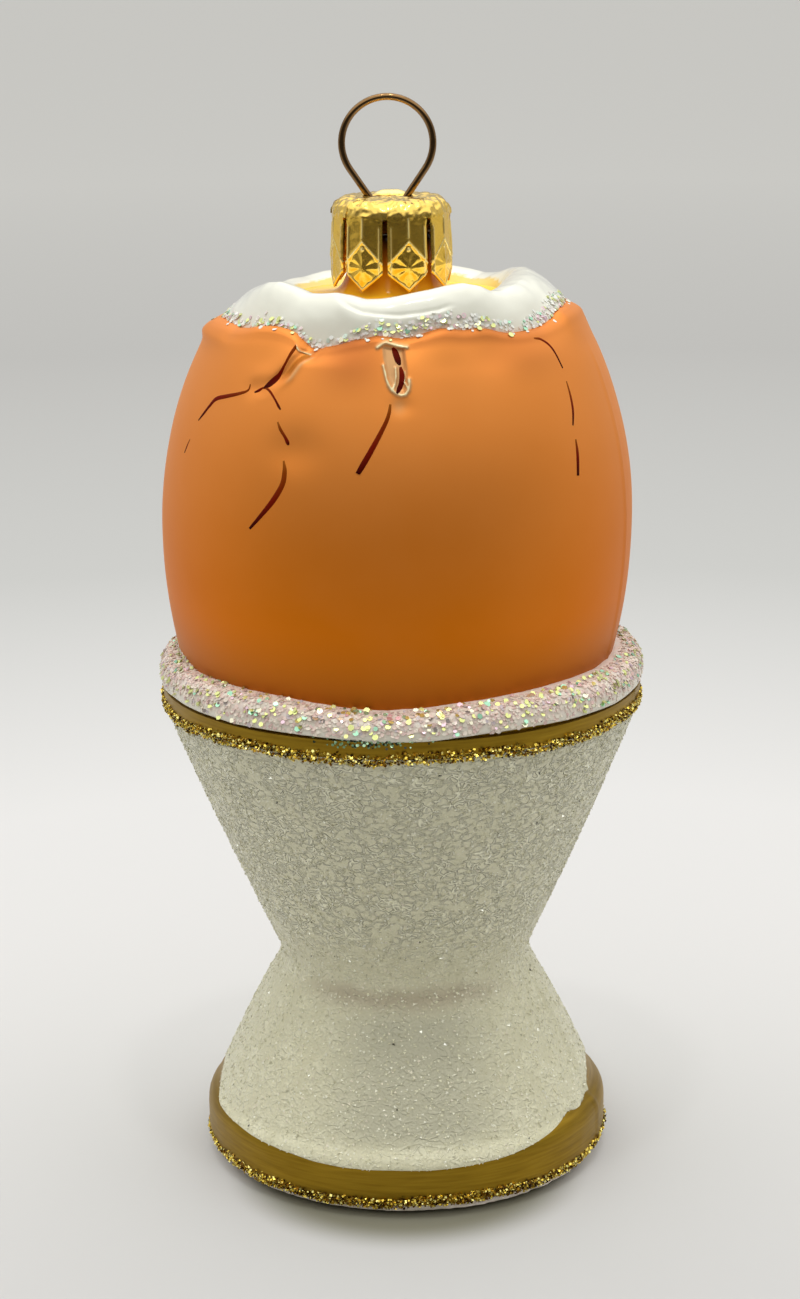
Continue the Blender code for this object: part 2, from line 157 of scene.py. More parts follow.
def turned(name, profile, steps):
    """A closed body turned on the axis from radii and heights that run from the axis back to it."""
    bpy.ops.object.select_all(action="DESELECT")
    bpy.ops.mesh.primitive_plane_add(size=MM, location=(0, -profile[0][0] * MM, profile[0][1] * MM))
    piece = bpy.context.object
    piece.name = piece.data.name = name
    bpy.ops.object.mode_set(mode="EDIT")
    bpy.ops.mesh.select_all(action="SELECT")
    bpy.ops.mesh.merge(type="CENTER")
    for (radius, height), (next_radius, next_height) in zip(profile, profile[1:]):
        step = (0, (radius - next_radius) * MM, (next_height - height) * MM)
        bpy.ops.mesh.extrude_region_move(TRANSFORM_OT_translate={"value": step})
    bpy.ops.mesh.select_all(action="SELECT")
    bpy.ops.mesh.spin(steps=steps, angle=math.tau, center=(0, 0, 0), axis=(0, 0, 1))
    bpy.ops.object.mode_set(mode="OBJECT")
    turn_outward(merge=0.001 * MM)
    bpy.ops.object.transform_apply(location=True, rotation=True, scale=True)
    in_order(piece)
    return piece


def turn_outward(merge=0.0):
    """Merges the active piece's doubles within a distance and turns its faces outward."""
    bpy.ops.object.mode_set(mode="EDIT")
    bpy.ops.mesh.select_all(action="SELECT")
    if merge:
        bpy.ops.mesh.remove_doubles(threshold=merge)
    bpy.ops.mesh.normals_make_consistent(inside=False)
    bpy.ops.object.mode_set(mode="OBJECT")


def refine(piece, cuts, inside):
    """Subdivides the faces whose middles lie inside, told by azimuth and height."""
    only(piece)
    azimuths, heights = [], []
    for face in piece.data.polygons:
        x, y, z = face.center / MM
        azimuths.append(math.degrees(math.atan2(x, -y)))
        heights.append(z)
    chosen = inside(np.array(azimuths), np.array(heights))
    piece.data.polygons.foreach_set("select", chosen)
    piece.data.edges.foreach_set("select", np.zeros(len(piece.data.edges), bool))
    piece.data.vertices.foreach_set("select", np.zeros(len(piece.data.vertices), bool))
    bpy.ops.object.mode_set(mode="EDIT")
    bpy.ops.mesh.select_mode(type="FACE")
    bpy.ops.mesh.subdivide(number_cuts=cuts)
    bpy.ops.mesh.select_mode(type="VERT")
    bpy.ops.object.mode_set(mode="OBJECT")
    in_order(piece)


def vertices_of(piece):
    places = np.empty(len(piece.data.vertices) * 3)
    piece.data.vertices.foreach_get("co", places)
    return places.reshape(-1, 3)


def cylindrical(places):
    """Azimuths in degrees, radii and heights in millimetres of places in metres."""
    x, y, z = places.T / MM
    return np.degrees(np.arctan2(x, -y)), np.hypot(x, y), z


def placed(azimuth, radius, height, shift=0.0):
    """Places in millimetres from azimuths, radii and heights, moved to the side by shift."""
    turn = np.radians(azimuth)
    return np.stack([radius * np.sin(turn) + shift, -radius * np.cos(turn), height + 0 * turn], axis=-1)


def reshape(piece, move):
    """Moves every vertex to where move puts its azimuth, radius and height."""
    places = move(*cylindrical(vertices_of(piece))) * MM
    piece.data.vertices.foreach_set("co", places.ravel())
    piece.data.update()


def mark(piece, name, values):
    """Keeps a number for each vertex, for the piece's material."""
    attribute = piece.data.attributes.new(name, "FLOAT", "POINT")
    attribute.data.foreach_set("value", np.asarray(values, np.float32))


def rough(places, size, seed=0):
    """Smooth noise from about -1 to 1 at places in millimetres, in lumps of about that size."""
    offset = Vector((seed * 17.3, seed * 5.1, seed * 9.7))
    return np.array([noise.noise(Vector(place) / size + offset) for place in places])


def curve(start, handle, end, steps):
    """A quadratic curve from start to end by way of handle, as rows of radius and height."""
    t = np.linspace(0, 1, steps + 1)[:, None]
    return (1 - t) ** 2 * np.array(start) + 2 * t * (1 - t) * np.array(handle) + t * t * np.array(end)


def off_from(azimuth, middle):
    """Degrees from middle round to an azimuth, from -180 to 180."""
    return (azimuth - middle + 180) % 360 - 180


def bell(off, width):
    return np.exp(-((off / width) ** 2))


def smooth(value):
    """0 below 0, 1 above 1 and smooth between."""
    value = np.clip(value, 0, 1)
    return value * value * (3 - 2 * value)


def around(points, azimuth):
    """A closed line round the ornament, from azimuths and values, read at any azimuth."""
    azimuths, values = np.array(sorted(points)).T
    spread = np.concatenate([azimuths - 360, azimuths, azimuths + 360])
    wave = np.interp(np.arange(-190, 191), spread, np.tile(values, 3))
    soft = np.convolve(wave, [0.25, 0.5, 0.25], "same")
    return np.interp((azimuth + 180) % 360 - 180, np.arange(-190, 191), soft)


def joined(name, parts):
    """One object from several; each part keeps its own material slots."""
    bpy.ops.object.select_all(action="DESELECT")
    for part in parts:
        part.select_set(True)
    bpy.context.view_layer.objects.active = parts[0]
    bpy.ops.object.join()
    parts[0].name = parts[0].data.name = name
    return parts[0]


def from_arrays(name, places, faces):
    """A mesh object from places in metres and faces."""
    mesh = bpy.data.meshes.new(name)
    mesh.from_pydata(places.tolist(), [], faces)
    piece = bpy.data.objects.new(name, mesh)
    bpy.context.scene.collection.objects.link(piece)
    return piece


def finished(piece, node, material, angle=40):
    """Shades a piece, gives it its material and ties it to the frame."""
    only(piece)
    bpy.ops.object.shade_smooth_by_angle(angle=math.radians(angle))
    piece.data.materials.clear()
    piece.data.materials.append(material)
    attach(piece, BODY)
    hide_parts(node)


# ---------------------------------------------------------------- materials


def new_material(name, **sockets):
    """A material whose shader has the given constants; its names have _ for spaces."""
    material = bpy.data.materials.new(name)
    material.use_nodes = True
    shader = material.node_tree.nodes["Principled BSDF"]
    for socket, value in sockets.items():
        shader.inputs[socket.replace("_", " ")].default_value = value
    return material


def add_node(owner, kind, inputs=None, out=0, **settings):
    """Adds a node with its settings, links or sets its inputs, and returns one of its outputs."""
    tree = owner.node_tree
    node = tree.nodes.new("ShaderNode" + kind)
    stops = settings.pop("stops", ())
    for place, shade in stops[len(node.color_ramp.elements) :] if stops else ():
        node.color_ramp.elements.new(0.5)
    for i, (place, shade) in enumerate(stops):
        node.color_ramp.elements[i].position = place
        node.color_ramp.elements[i].color = (*shade, 1.0)
    for name, value in settings.items():
        setattr(node, name, value)
    for name, value in (inputs or {}).items():
        socket = node.inputs[name]
        if isinstance(value, bpy.types.NodeSocket):
            tree.links.new(value, socket)
        else:
            socket.default_value = (*value, 1.0) if socket.type == "RGBA" and len(value) == 3 else value
    return node.outputs[out]


def to_shader(material, **links):
    shader = material.node_tree.nodes["Principled BSDF"]
    for socket, output in links.items():
        material.node_tree.links.new(output, shader.inputs[socket.replace("_", " ")])


def per(size):
    """The scale of a pattern on coordinates in metres whose cells are size millimetres."""
    return 1000 / size


# ---------------------------------------------------------------- shape of the glass

EGG_RADIUS, EGG_MIDDLE, EGG_LOWER_HALF, EGG_UPPER_HALF = 25.3, 72.2, 39.5, 34.0
SHELL_BOTTOM, SHELL_TURN, SHELL_EDGE = 56.6, 93.6, (18.8, 94.7)
SHELL_LIP = ([SHELL_TURN, 94.3, SHELL_EDGE[1]], [19.66, 19.3, SHELL_EDGE[0]])  # its heights and radii
CRACK_RADIUS, NOTCH_RADIUS = 21, 20.6  # the shell's radius where the cracks and the notch are
YOLK_EDGE = (12.0, 95.9)
NECK_SHIFT, NECK_RADIUS, NECK_TOP = -0.6, 4.6, 103.0

# The white's crest: azimuth, radius and height
CREST = (
    (-165, 16.0, 97.1), (-150, 16.0, 96.85), (-139, 16.0, 96.45), (-125, 15.5, 96.4), (-105, 14.2, 97.0),
    (-88, 13.4, 97.65), (-78, 14.2, 97.85), (-66, 15.4, 98.2), (-56, 16.1, 98.9), (-48, 16.3, 99.2),
    (-41, 16.3, 98.8), (-35, 16.3, 98.35), (-29, 16.3, 98.4), (-23, 16.3, 98.6), (-17, 16.3, 98.4),
    (-12, 16.3, 98.0), (-6, 16.3, 98.05), (1, 16.3, 98.4), (9, 16.3, 98.85), (17, 16.3, 99.25),
    (24, 16.3, 99.4), (30, 16.3, 98.95), (35, 16.3, 98.35), (40, 16.2, 98.2), (47, 15.7, 98.4),
    (57, 14.9, 98.6), (70, 14.1, 98.7), (85, 13.7, 98.75), (98, 13.6, 98.65), (110, 13.9, 98.3),
    (122, 14.8, 97.8), (134, 15.6, 96.95), (143, 16.0, 96.6), (150, 16.0, 97.0), (160, 16.0, 97.3),
    (172, 16.0, 97.2),
)
# The ledge low on the front of the white: azimuth and height
LEDGE = ((-21, 98.1), (-17, 97.4), (-12, 96.85), (-6, 96.65), (1, 96.55), (7, 96.7), (13, 97.0), (17, 97.4))
# Height of the shell's torn edge round the egg
TORN_EDGE = (
    (-165, 95.0), (-148, 94.6), (-130, 94.0), (-108, 93.7), (-92, 93.9), (-80, 94.4), (-66, 94.4),
    (-60, 94.25), (-53, 94.55), (-48, 94.95), (-42, 95.15), (-38, 95.05), (-35, 94.8), (-32.6, 94.5),
    (-31, 93.9), (-29, 93.45), (-27, 93.1), (-25.5, 93.1), (-23, 93.45), (-20, 93.6), (-16.6, 93.95),
    (-13.4, 94.3), (-10, 94.5), (-7, 94.75), (-4, 94.75), (-2, 94.55), (0.5, 94.45), (3.6, 94.5),
    (6.6, 94.8), (9.7, 95.15), (13, 95.4), (16, 95.35), (19, 95.1), (22.6, 95.05), (26, 95.15),
    (29.5, 94.95), (33, 94.55), (37, 94.3), (41, 94.25), (50, 94.3), (55, 94.55), (60, 94.9),
    (64, 95.5), (72, 95.6), (90, 95.4), (118, 94.4), (140, 94.8), (165, 95.2),
)
# Lumps and dents of the shell: azimuth, height, half-width and rise
SHELL_LUMPS = (
    (-52, 93.2, 5.0, 0.35), (-15, 93.3, 5.0, 0.26), (12, 93.4, 5.0, 0.4), (42, 93.4, 5.0, 0.32),
    (28, 93.2, 2.4, -0.3), (-41.2, 89.2, 1.1, -0.2), (-26.5, 83.6, 2.4, -0.3), (0.8, 88.2, 1.0, -0.13),
    (66, 91.0, 4.5, 0.2), (110, 91.5, 5.0, 0.35), (150, 91.0, 6.0, -0.35), (-130, 91.5, 6.0, 0.3),
)
SHOULDER = (-85, 24, 93.55, 1.25, 0.95)  # azimuth, half-width, height, reach and rise of the swollen corner
CRACK_VALLEY = ((-28.5, 94.4), (-30.4, 92.8), (-32.8, 91.2), (-35.5, 90.1), (-38.5, 89.4))
# The notch: heights with the azimuths of its left and right edges
NOTCH = (
    (89.3, 0.7, 1.1), (89.5, -0.4, 2.1), (89.85, -1.4, 2.75), (90.3, -2.3, 2.95), (91.1, -3.3, 2.9),
    (91.9, -3.9, 2.8),
    (92.7, -4.5, 2.5), (93.6, -4.9, 2.3), (94.0, -4.6, 2.2),
)
# Beads of bare silvered glass round the notch and on the left crack, coloured cream as painted highlights:
# azimuths, heights and half-width
BEADS = (
    (((-6.0, 93.75), (-5.0, 94.0), (-3.6, 94.28), (-1.8, 94.22), (0.4, 94.1), (2.5, 93.95)), 0.2),
    (((-4.1, 92.1), (-3.6, 91.5), (-3.2, 90.9), (-2.6, 90.35)), 0.15),
    (
        (
            (-2.5, 90.3), (-1.9, 89.95), (-1.2, 89.7), (-0.3, 89.45), (0.8, 89.3), (1.9, 89.4), (2.7, 89.8),
            (2.95, 90.3), (2.85, 90.75),
        ),
        0.2,
    ),
    (((2.6, 89.9), (2.1, 90.25), (1.5, 90.5)), 0.12),
    (((-0.75, 91.8), (-0.6, 91.0), (-0.9, 90.3), (-1.6, 89.75)), 0.14),
    (((1.75, 91.5), (1.9, 90.95), (1.7, 90.6)), 0.06),
    (((-31.4, 94.0), (-30.5, 93.75), (-29.5, 93.75), (-28.3, 93.95), (-27.0, 94.15)), 0.13),
)
SEAMS = (72.0, -108.0)  # where the two halves of the mould met
SEAM_RISE, SEAM_WIDTH = 0.14, 0.35
EGG_SHIFT, EGG_LEAN = -0.3, 0.014  # the egg stands a little left in the cup and leans right


def egg_radius(height):
    half = np.where(height > EGG_MIDDLE, EGG_UPPER_HALF, EGG_LOWER_HALF)
    return EGG_RADIUS * np.sqrt(np.maximum(0, 1 - ((height - EGG_MIDDLE) / half) ** 2))


def lean(height):
    """How far the egg's middle lies to the side at a height."""
    return EGG_SHIFT + EGG_LEAN * (height - EGG_MIDDLE)


def path_distance(azimuth, height, path):
    """Millimetres from a path on the shell, positive to the right of it."""
    across = math.radians(1) * CRACK_RADIUS
    best = np.full(np.shape(azimuth), 1e9)
    for (a0, z0), (a1, z1) in zip(path, path[1:]):
        along = np.array([(a1 - a0) * across, z1 - z0])
        dx, dz = (azimuth - a0) * across, height - z0
        share = np.clip((dx * along[0] + dz * along[1]) / (along @ along), 0, 1)
        ox, oz = dx - share * along[0], dz - share * along[1]
        side = np.where(along[0] * oz - along[1] * ox > 0, 1, -1)
        off = np.hypot(ox, oz) * side
        best = np.where(np.abs(off) < np.abs(best), off, best)
    return best


def notch_inset(azimuth, height):
    """Millimetres inside the notch's outline, negative outside it."""
    heights, left, right = np.array(NOTCH).T
    across = np.minimum(
        azimuth - np.interp(height, heights, left), np.interp(height, heights, right) - azimuth,
    )
    return np.minimum(
        across * math.radians(1) * NOTCH_RADIUS, np.minimum(heights[-1] - height, height - heights[0]),
    )


def on_beads(azimuth, height):
    """1 along the middles of the beads, 0 away from them."""
    total = 0 * azimuth
    for path, half in BEADS:
        total = np.maximum(total, bell(path_distance(azimuth, height, path), half))
    return total


def seam_ridge(azimuth, radius):
    total = 0 * azimuth
    for seam in SEAMS:
        off = off_from(azimuth, seam) * math.radians(1) * radius
        total = total + SEAM_RISE * bell(off, SEAM_WIDTH)
    return total


def edge_inset(azimuth):
    """How far the torn edge is drawn in on the right."""
    return 0.85 * bell(off_from(azimuth, 88), 26)


def shell_relief(azimuth, height):
    """How far the shell stands out of the plain egg."""
    relief = 0 * azimuth
    for middle, at, size, rise in SHELL_LUMPS:
        across = off_from(azimuth, middle) * math.radians(1) * CRACK_RADIUS
        relief = relief + rise * np.exp(-((across / size) ** 2 + ((height - at) / (size * 0.8)) ** 2))
    middle, spread_out, at, reach, rise = SHOULDER
    relief = relief + rise * bell(off_from(azimuth, middle), spread_out) * bell(height - at, reach)
    relief = relief - edge_inset(azimuth) * smooth((height - 93.8) / 0.9)
    off = path_distance(azimuth, height, CRACK_VALLEY)
    deep = smooth((height - 89.2) / 1.6) * 0.85 + 0.15
    relief = relief - deep * (
        0.42 * bell(off - 0.15, 0.5) - 0.12 * bell(off - 1.15, 0.35) - 0.06 * bell(off + 1.3, 0.8)
    )
    inset = notch_inset(azimuth, height)
    relief = relief - 0.3 * smooth(inset / 0.5) - 0.12 * bell(azimuth - 0.6, 1.3) * smooth(inset / 0.6)
    relief = relief + 0.15 * on_beads(azimuth, height)
    return relief + seam_ridge(azimuth, egg_radius(height)) * smooth((93 - height) / 4)


def shell_place(azimuth, height, out=0.0):
    """A place on the shell at an unmoved height, out millimetres proud of it."""
    radius = np.where(
        height <= SHELL_TURN, egg_radius(height), np.interp(height, *SHELL_LIP)
    )
    torn = smooth((height - 91.5) / (SHELL_EDGE[1] - 91.5)) * (around(TORN_EDGE, azimuth) - SHELL_EDGE[1])
    return placed(azimuth, radius + shell_relief(azimuth, height) + out, height + torn, lean(height))


def wall_rows():
    """Foot, waist, cup and rim from the base edge up, as rows of radius and height."""
    shoulder, waist, rim = (21.2, 7.4), np.array([13.4, 23.2]), (25.9, 52.5)
    below = (shoulder - waist) / np.linalg.norm(shoulder - waist) * 1.6 + waist
    above = (rim - waist) / np.linalg.norm(rim - waist) * 1.6 + waist

    def flared(start, end):
        t = np.linspace(0, 1, 30)[:, None]
        row = np.array(start) * (1 - t) + np.array(end) * t
        row[:, :1] += 0.25 * np.sin(math.pi * t)
        return row

    rows = [
        curve((20.2, 0), (22.1, 1.1), (22.4, 2.7), 8),
        curve((22.4, 5.4), (22.4, 6.6), shoulder, 8),
        flared(shoulder, below),
        curve(below, waist, above, 10),
        flared(above, rim),
        [(26.05, 53.6), (26.1, 54.8), (26.1, 56.2)],
    ]
    return np.concatenate(rows)


WALL = wall_rows()
# Height of the frost's lower edge over the foot's gold band
FROST_EDGE = (
    (-180, 6.6), (-150, 7.4), (-120, 8.0), (-100, 8.8), (-88, 8.6), (-81, 7.4), (-71, 6.8), (-58, 6.6),
    (-46, 6.3), (-35, 6.1), (-26, 5.8), (-17, 5.65), (-5, 5.7), (6.5, 5.65), (16, 5.7), (26, 5.9),
    (36, 6.3), (44, 6.7), (52, 7.2), (57, 7.6), (60, 7.3), (64, 7.3), (72, 7.9), (80, 9.0), (90, 9.6),
    (104, 8.4), (125, 7.4), (150, 6.7),
)


def wall_radius(height):
    return np.interp(height, WALL[:, 1], WALL[:, 0])


def right_lobe(azimuth):
    return bell(off_from(azimuth, 78), 32)


def left_lobe(azimuth):
    return bell(off_from(azimuth, -78), 26)


def white_place(azimuth, share):
    """A place on the white: share runs 0 to 1 up its outer side and 1 to 2 down to the yolk."""
    crest = np.stack(
        [around([(a, r) for a, r, _ in CREST], azimuth), around([(a, z) for a, _, z in CREST], azimuth)],
        -1,
    )
    foot = np.stack([18.5 - edge_inset(azimuth), around(TORN_EDGE, azimuth) + 0.1], -1)
    yolk = np.array(YOLK_EDGE)
    full = bell(azimuth, 50)[..., None]  # the front of the white bulges most
    up, down = np.clip(share, 0, 1)[..., None], np.clip(share - 1, 0, 1)[..., None]
    lobe = right_lobe(azimuth)[..., None]  # where the white is a broad lump with no yolk in it
    lumps = lobe + left_lobe(azimuth)[..., None]
    handle = crest + (foot - crest) * (
        np.array([0.48, 0.3]) + full * np.array([0.42, -0.2]) + lumps * np.array([0.03, -0.14])
    )
    outer = (1 - up) ** 2 * foot + 2 * up * (1 - up) * handle + up**2 * crest
    yolk = yolk - lobe * np.array([1.3, 0.0])
    handle = crest + (yolk - crest) * (np.array([0.45, -0.04]) + lobe * np.array([0.5, 0.0]))
    inner = (1 - down) ** 2 * crest + 2 * down * (1 - down) * handle + down**2 * yolk
    radius, height = np.moveaxis(np.where(share[..., None] <= 1, outer, inner), -1, 0)
    below = np.interp(azimuth, *np.array(LEDGE).T) - height
    near = smooth((azimuth + 23) / 5) * smooth((19 - azimuth) / 5) * (share < 1)
    radius = radius + near * (
        0.2 * smooth(below / 0.12 + 0.5) * bell(np.maximum(below, 0), 1.2) - 0.06 * bell(below + 0.2, 0.2)
    )
    return placed(azimuth, radius, height, lean(height))


# ---------------------------------------------------------------- pieces


def turn_rows(rows, low, high):
    """Rows closed to the axis at a low and a high height."""
    return [(0.0, low), *[tuple(row) for row in rows], (0.0, high)]


def even_rows(bottom, top, step):
    return np.arange(bottom, top + step / 2, step)


def glaze_material(colours):
    """Orange lacquer sprayed over silvered blown glass: satin, deeper where it is seen face on."""
    material = new_material(
        "lacquered_blown_glass", Metallic=0.6, Roughness=0.5, Specular_IOR_Level=0.12, Coat_Roughness=0.15,
        Sheen_Weight=0.06, Sheen_Roughness=0.4, Sheen_Tint=(*linear("#FFC9A8"), 1),
    )
    place = add_node(material, "TexCoord", out="Object")
    mottle = add_node(material, "TexNoise", {"Vector": place, "Scale": per(14), "Detail": 3.0})
    height = add_node(material, "SeparateXYZ", {0: place}, "Z")
    # Painted highlight: towards the top the lacquer blends into its lighter, pinker lit copy
    lift = add_node(
        material, "MapRange", {"Value": height, "From Min": 62 * MM, "From Max": 94 * MM},
        interpolation_type="SMOOTHSTEP",
    )
    blend = add_node(material, "Math", {0: mottle, 1: 0.5, 2: lift}, operation="MULTIPLY_ADD")
    blend = add_node(material, "Math", {0: blend, 1: 0.25}, operation="SUBTRACT", use_clamp=True)
    lacquer = add_node(
        material, "Mix", {"Factor": blend, 6: colours.shell, 7: colours.shell_lit_top}, 2, data_type="RGBA",
    )
    # Painted shade: the shell darkens towards its bottom, where it goes down into the cup's collar
    shade_into_cup = add_node(
        material, "MapRange", {"Value": height, "From Min": 66 * MM, "From Max": 56 * MM, "To Max": 0.65},
        interpolation_type="SMOOTHSTEP",
    )
    lacquer = add_node(
        material, "Mix", {"Factor": shade_into_cup, 6: lacquer, 7: linear("#9C5C1E")}, 2, data_type="RGBA",
    )
    # Painted shade: the 'edge' mark darkens two patches high on the front of the shell and a strip just under
    # its torn edge
    edge = add_node(material, "Attribute", out="Fac", attribute_name="edge")
    lacquer = add_node(
        material, "Mix", {"Factor": edge, 6: lacquer, 7: linear("#C87438")}, 2, data_type="RGBA",
    )
    bare_glass_and_highlight = add_node(material, "Attribute", out="Fac", attribute_name="bare_glass_and_highlight")
    # A darker ochre on the slope of the crack valley, between its stroke and its ridge
    valley_ochre = add_node(material, "Attribute", out="Fac", attribute_name="valley_ochre")
    lacquer = add_node(
        material, "Mix", {"Factor": valley_ochre, 6: lacquer, 7: linear("#B87420")}, 2, data_type="RGBA",
    )
    # Tan: the bare glass inside the notch, and the lighter painted highlight and painted reflection marked on
    # the shell with it
    tan = add_node(material, "MapRange", {"Value": bare_glass_and_highlight, "From Max": 0.5})
    # Painted highlight: the beads turn cream and take a clear coat
    painted_highlight = add_node(material, "MapRange", {"Value": bare_glass_and_highlight, "From Min": 0.55, "From Max": 0.9})
    painted = add_node(
        material, "Mix", {"Factor": tan, 6: lacquer, 7: linear("#E0AC74")}, 2, data_type="RGBA",
    )
    painted = add_node(
        material, "Mix", {"Factor": painted_highlight, 6: painted, 7: linear("#FFF3BC")}, 2, data_type="RGBA",
    )
    gloss = add_node(material, "MapRange", {"Value": bare_glass_and_highlight, "To Min": 0.5, "To Max": 0.3})
    metal = add_node(material, "MapRange", {"Value": bare_glass_and_highlight, "To Min": 0.6, "To Max": 0.1})
    peel = add_node(material, "TexNoise", {"Vector": place, "Scale": per(1.6), "Detail": 2.0})
    bump = add_node(material, "Bump", {"Strength": 0.25, "Distance": 0.02 * MM, "Height": peel})
    to_shader(
        material, Base_Color=painted, Roughness=gloss, Metallic=metal,
        Coat_Weight=painted_highlight,
        Normal=bump,
    )
    return material


class ORNAMENT_OT_shell(bpy.types.Operator):
    """Blown egg shell with its lumps, its cracked valley and its open notch"""

    bl_idname = "ornament.shell"
    bl_label = "Egg shell"

    def execute(self, context):
        heights = np.concatenate(
            [even_rows(SHELL_BOTTOM, 90, 0.4), even_rows(90.25, 94.2, 0.25), [94.45, SHELL_EDGE[1]]]
        )
        rows = [
            (float(egg_radius(h)) if h <= SHELL_TURN else float(np.interp(h, *SHELL_LIP)), h)
            for h in heights
        ]
        shell = turned("egg_shell", turn_rows(rows, SHELL_BOTTOM, 94.0), 320)
        refine(shell, 2, lambda a, h: (np.abs(a + 1) < 8) & (h > 86.5) & (h < 94.2))
        refine(shell, 2, lambda a, h: (a > -46) & (a < -22) & (h > 87) & (h < 94.2))
        refine(shell, 1, lambda a, h: (a > -7) & (a < 4.6) & (h > 88.6) & (h < 94.2))

        def shape(azimuth, radius, height):
            inside = radius < 18.7
            places = shell_place(azimuth, height)
            places = places + placed(azimuth, 0.06 * rough(places, 9.0), 0 * azimuth)
            return np.where(inside[:, None], placed(azimuth, radius, height, lean(height)), places)

        azimuth, _, height = cylindrical(vertices_of(shell))
        inset = notch_inset(azimuth, height)
        off = path_distance(azimuth, height, CRACK_VALLEY)
        wedge = smooth(off / 0.2) * smooth((1.05 - off) / 0.3)
        wedge = wedge * smooth((height - 90.0) / 1.4) * (height < 93.9)
        left = 0.5 - 0.22 * smooth((azimuth - 0.2) / 1.2)
        # Painted reflection: a tan patch under the notch, where the shallow dent there reflects its
        # surroundings
        dent_reflection_patch = 0.22 * bell((azimuth - 0.2) / 1.6, 1) * bell(height - 88.2, 0.7)
        # Painted highlight: a pale line along the ridge beside the crack valley
        ridge = 0.4 * bell(off - 1.15, 0.2) * smooth((height - 89.8) / 1.0) * (height < 93.8)
        bare_glass_and_highlight = np.maximum(left * smooth(inset / 0.25), np.maximum(ridge, dent_reflection_patch))
        places = shell_place(azimuth, height)
        # Painted highlight: the cream colour on the beads
        bead_highlights = on_beads(azimuth, height) * (0.82 + 0.3 * rough(places, 0.45, 6))
        mark(shell, "bare_glass_and_highlight", np.clip(np.maximum(bare_glass_and_highlight, bead_highlights), 0, 1))
        mark(shell, "valley_ochre", 0.8 * wedge)
        # Painted shade: darker patches high on the front near azimuths -13 and 37, and a darker strip just
        # under the torn edge, kept as the 'edge' mark
        deeper = 0.8 * bell(
            azimuth + 13, 10,
        ) * smooth((height - 88.0) / 4.6) + 0.5 * bell(azimuth - 37, 14) * smooth((height - 88.5) / 4.2)
        mark(shell, "edge", deeper + (0.2 + 0.4 * bell(azimuth - 14, 12)) * smooth((height - 93.2) / 0.9))
        reshape(shell, shape)
        finished(shell, "glass_body", glaze_material(context.scene.ornament_colours), 80)
        return {"FINISHED"}


def stroke_rows(path, samples):
    """A brush path's azimuths, heights and half-widths, evenly along a smooth line through its points."""
    points = np.array(path, float)
    ends = np.vstack([2 * points[0] - points[1], points, 2 * points[-1] - points[-2]])
    rows = []
    for i in range(1, len(ends) - 2):
        p0, p1, p2, p3 = ends[i - 1 : i + 3]
        for t in np.linspace(0, 1, samples, endpoint=i == len(ends) - 3):
            rows.append(
                0.5 * (
                    2 * p1 + (p2 - p0) * t + (2 * p0 - 5 * p1 + 4 * p2 - p3) * t**2
                    + (3 * p1 - p0 - 3 * p2 + p3) * t**3
                )
            )
    return np.array(rows)


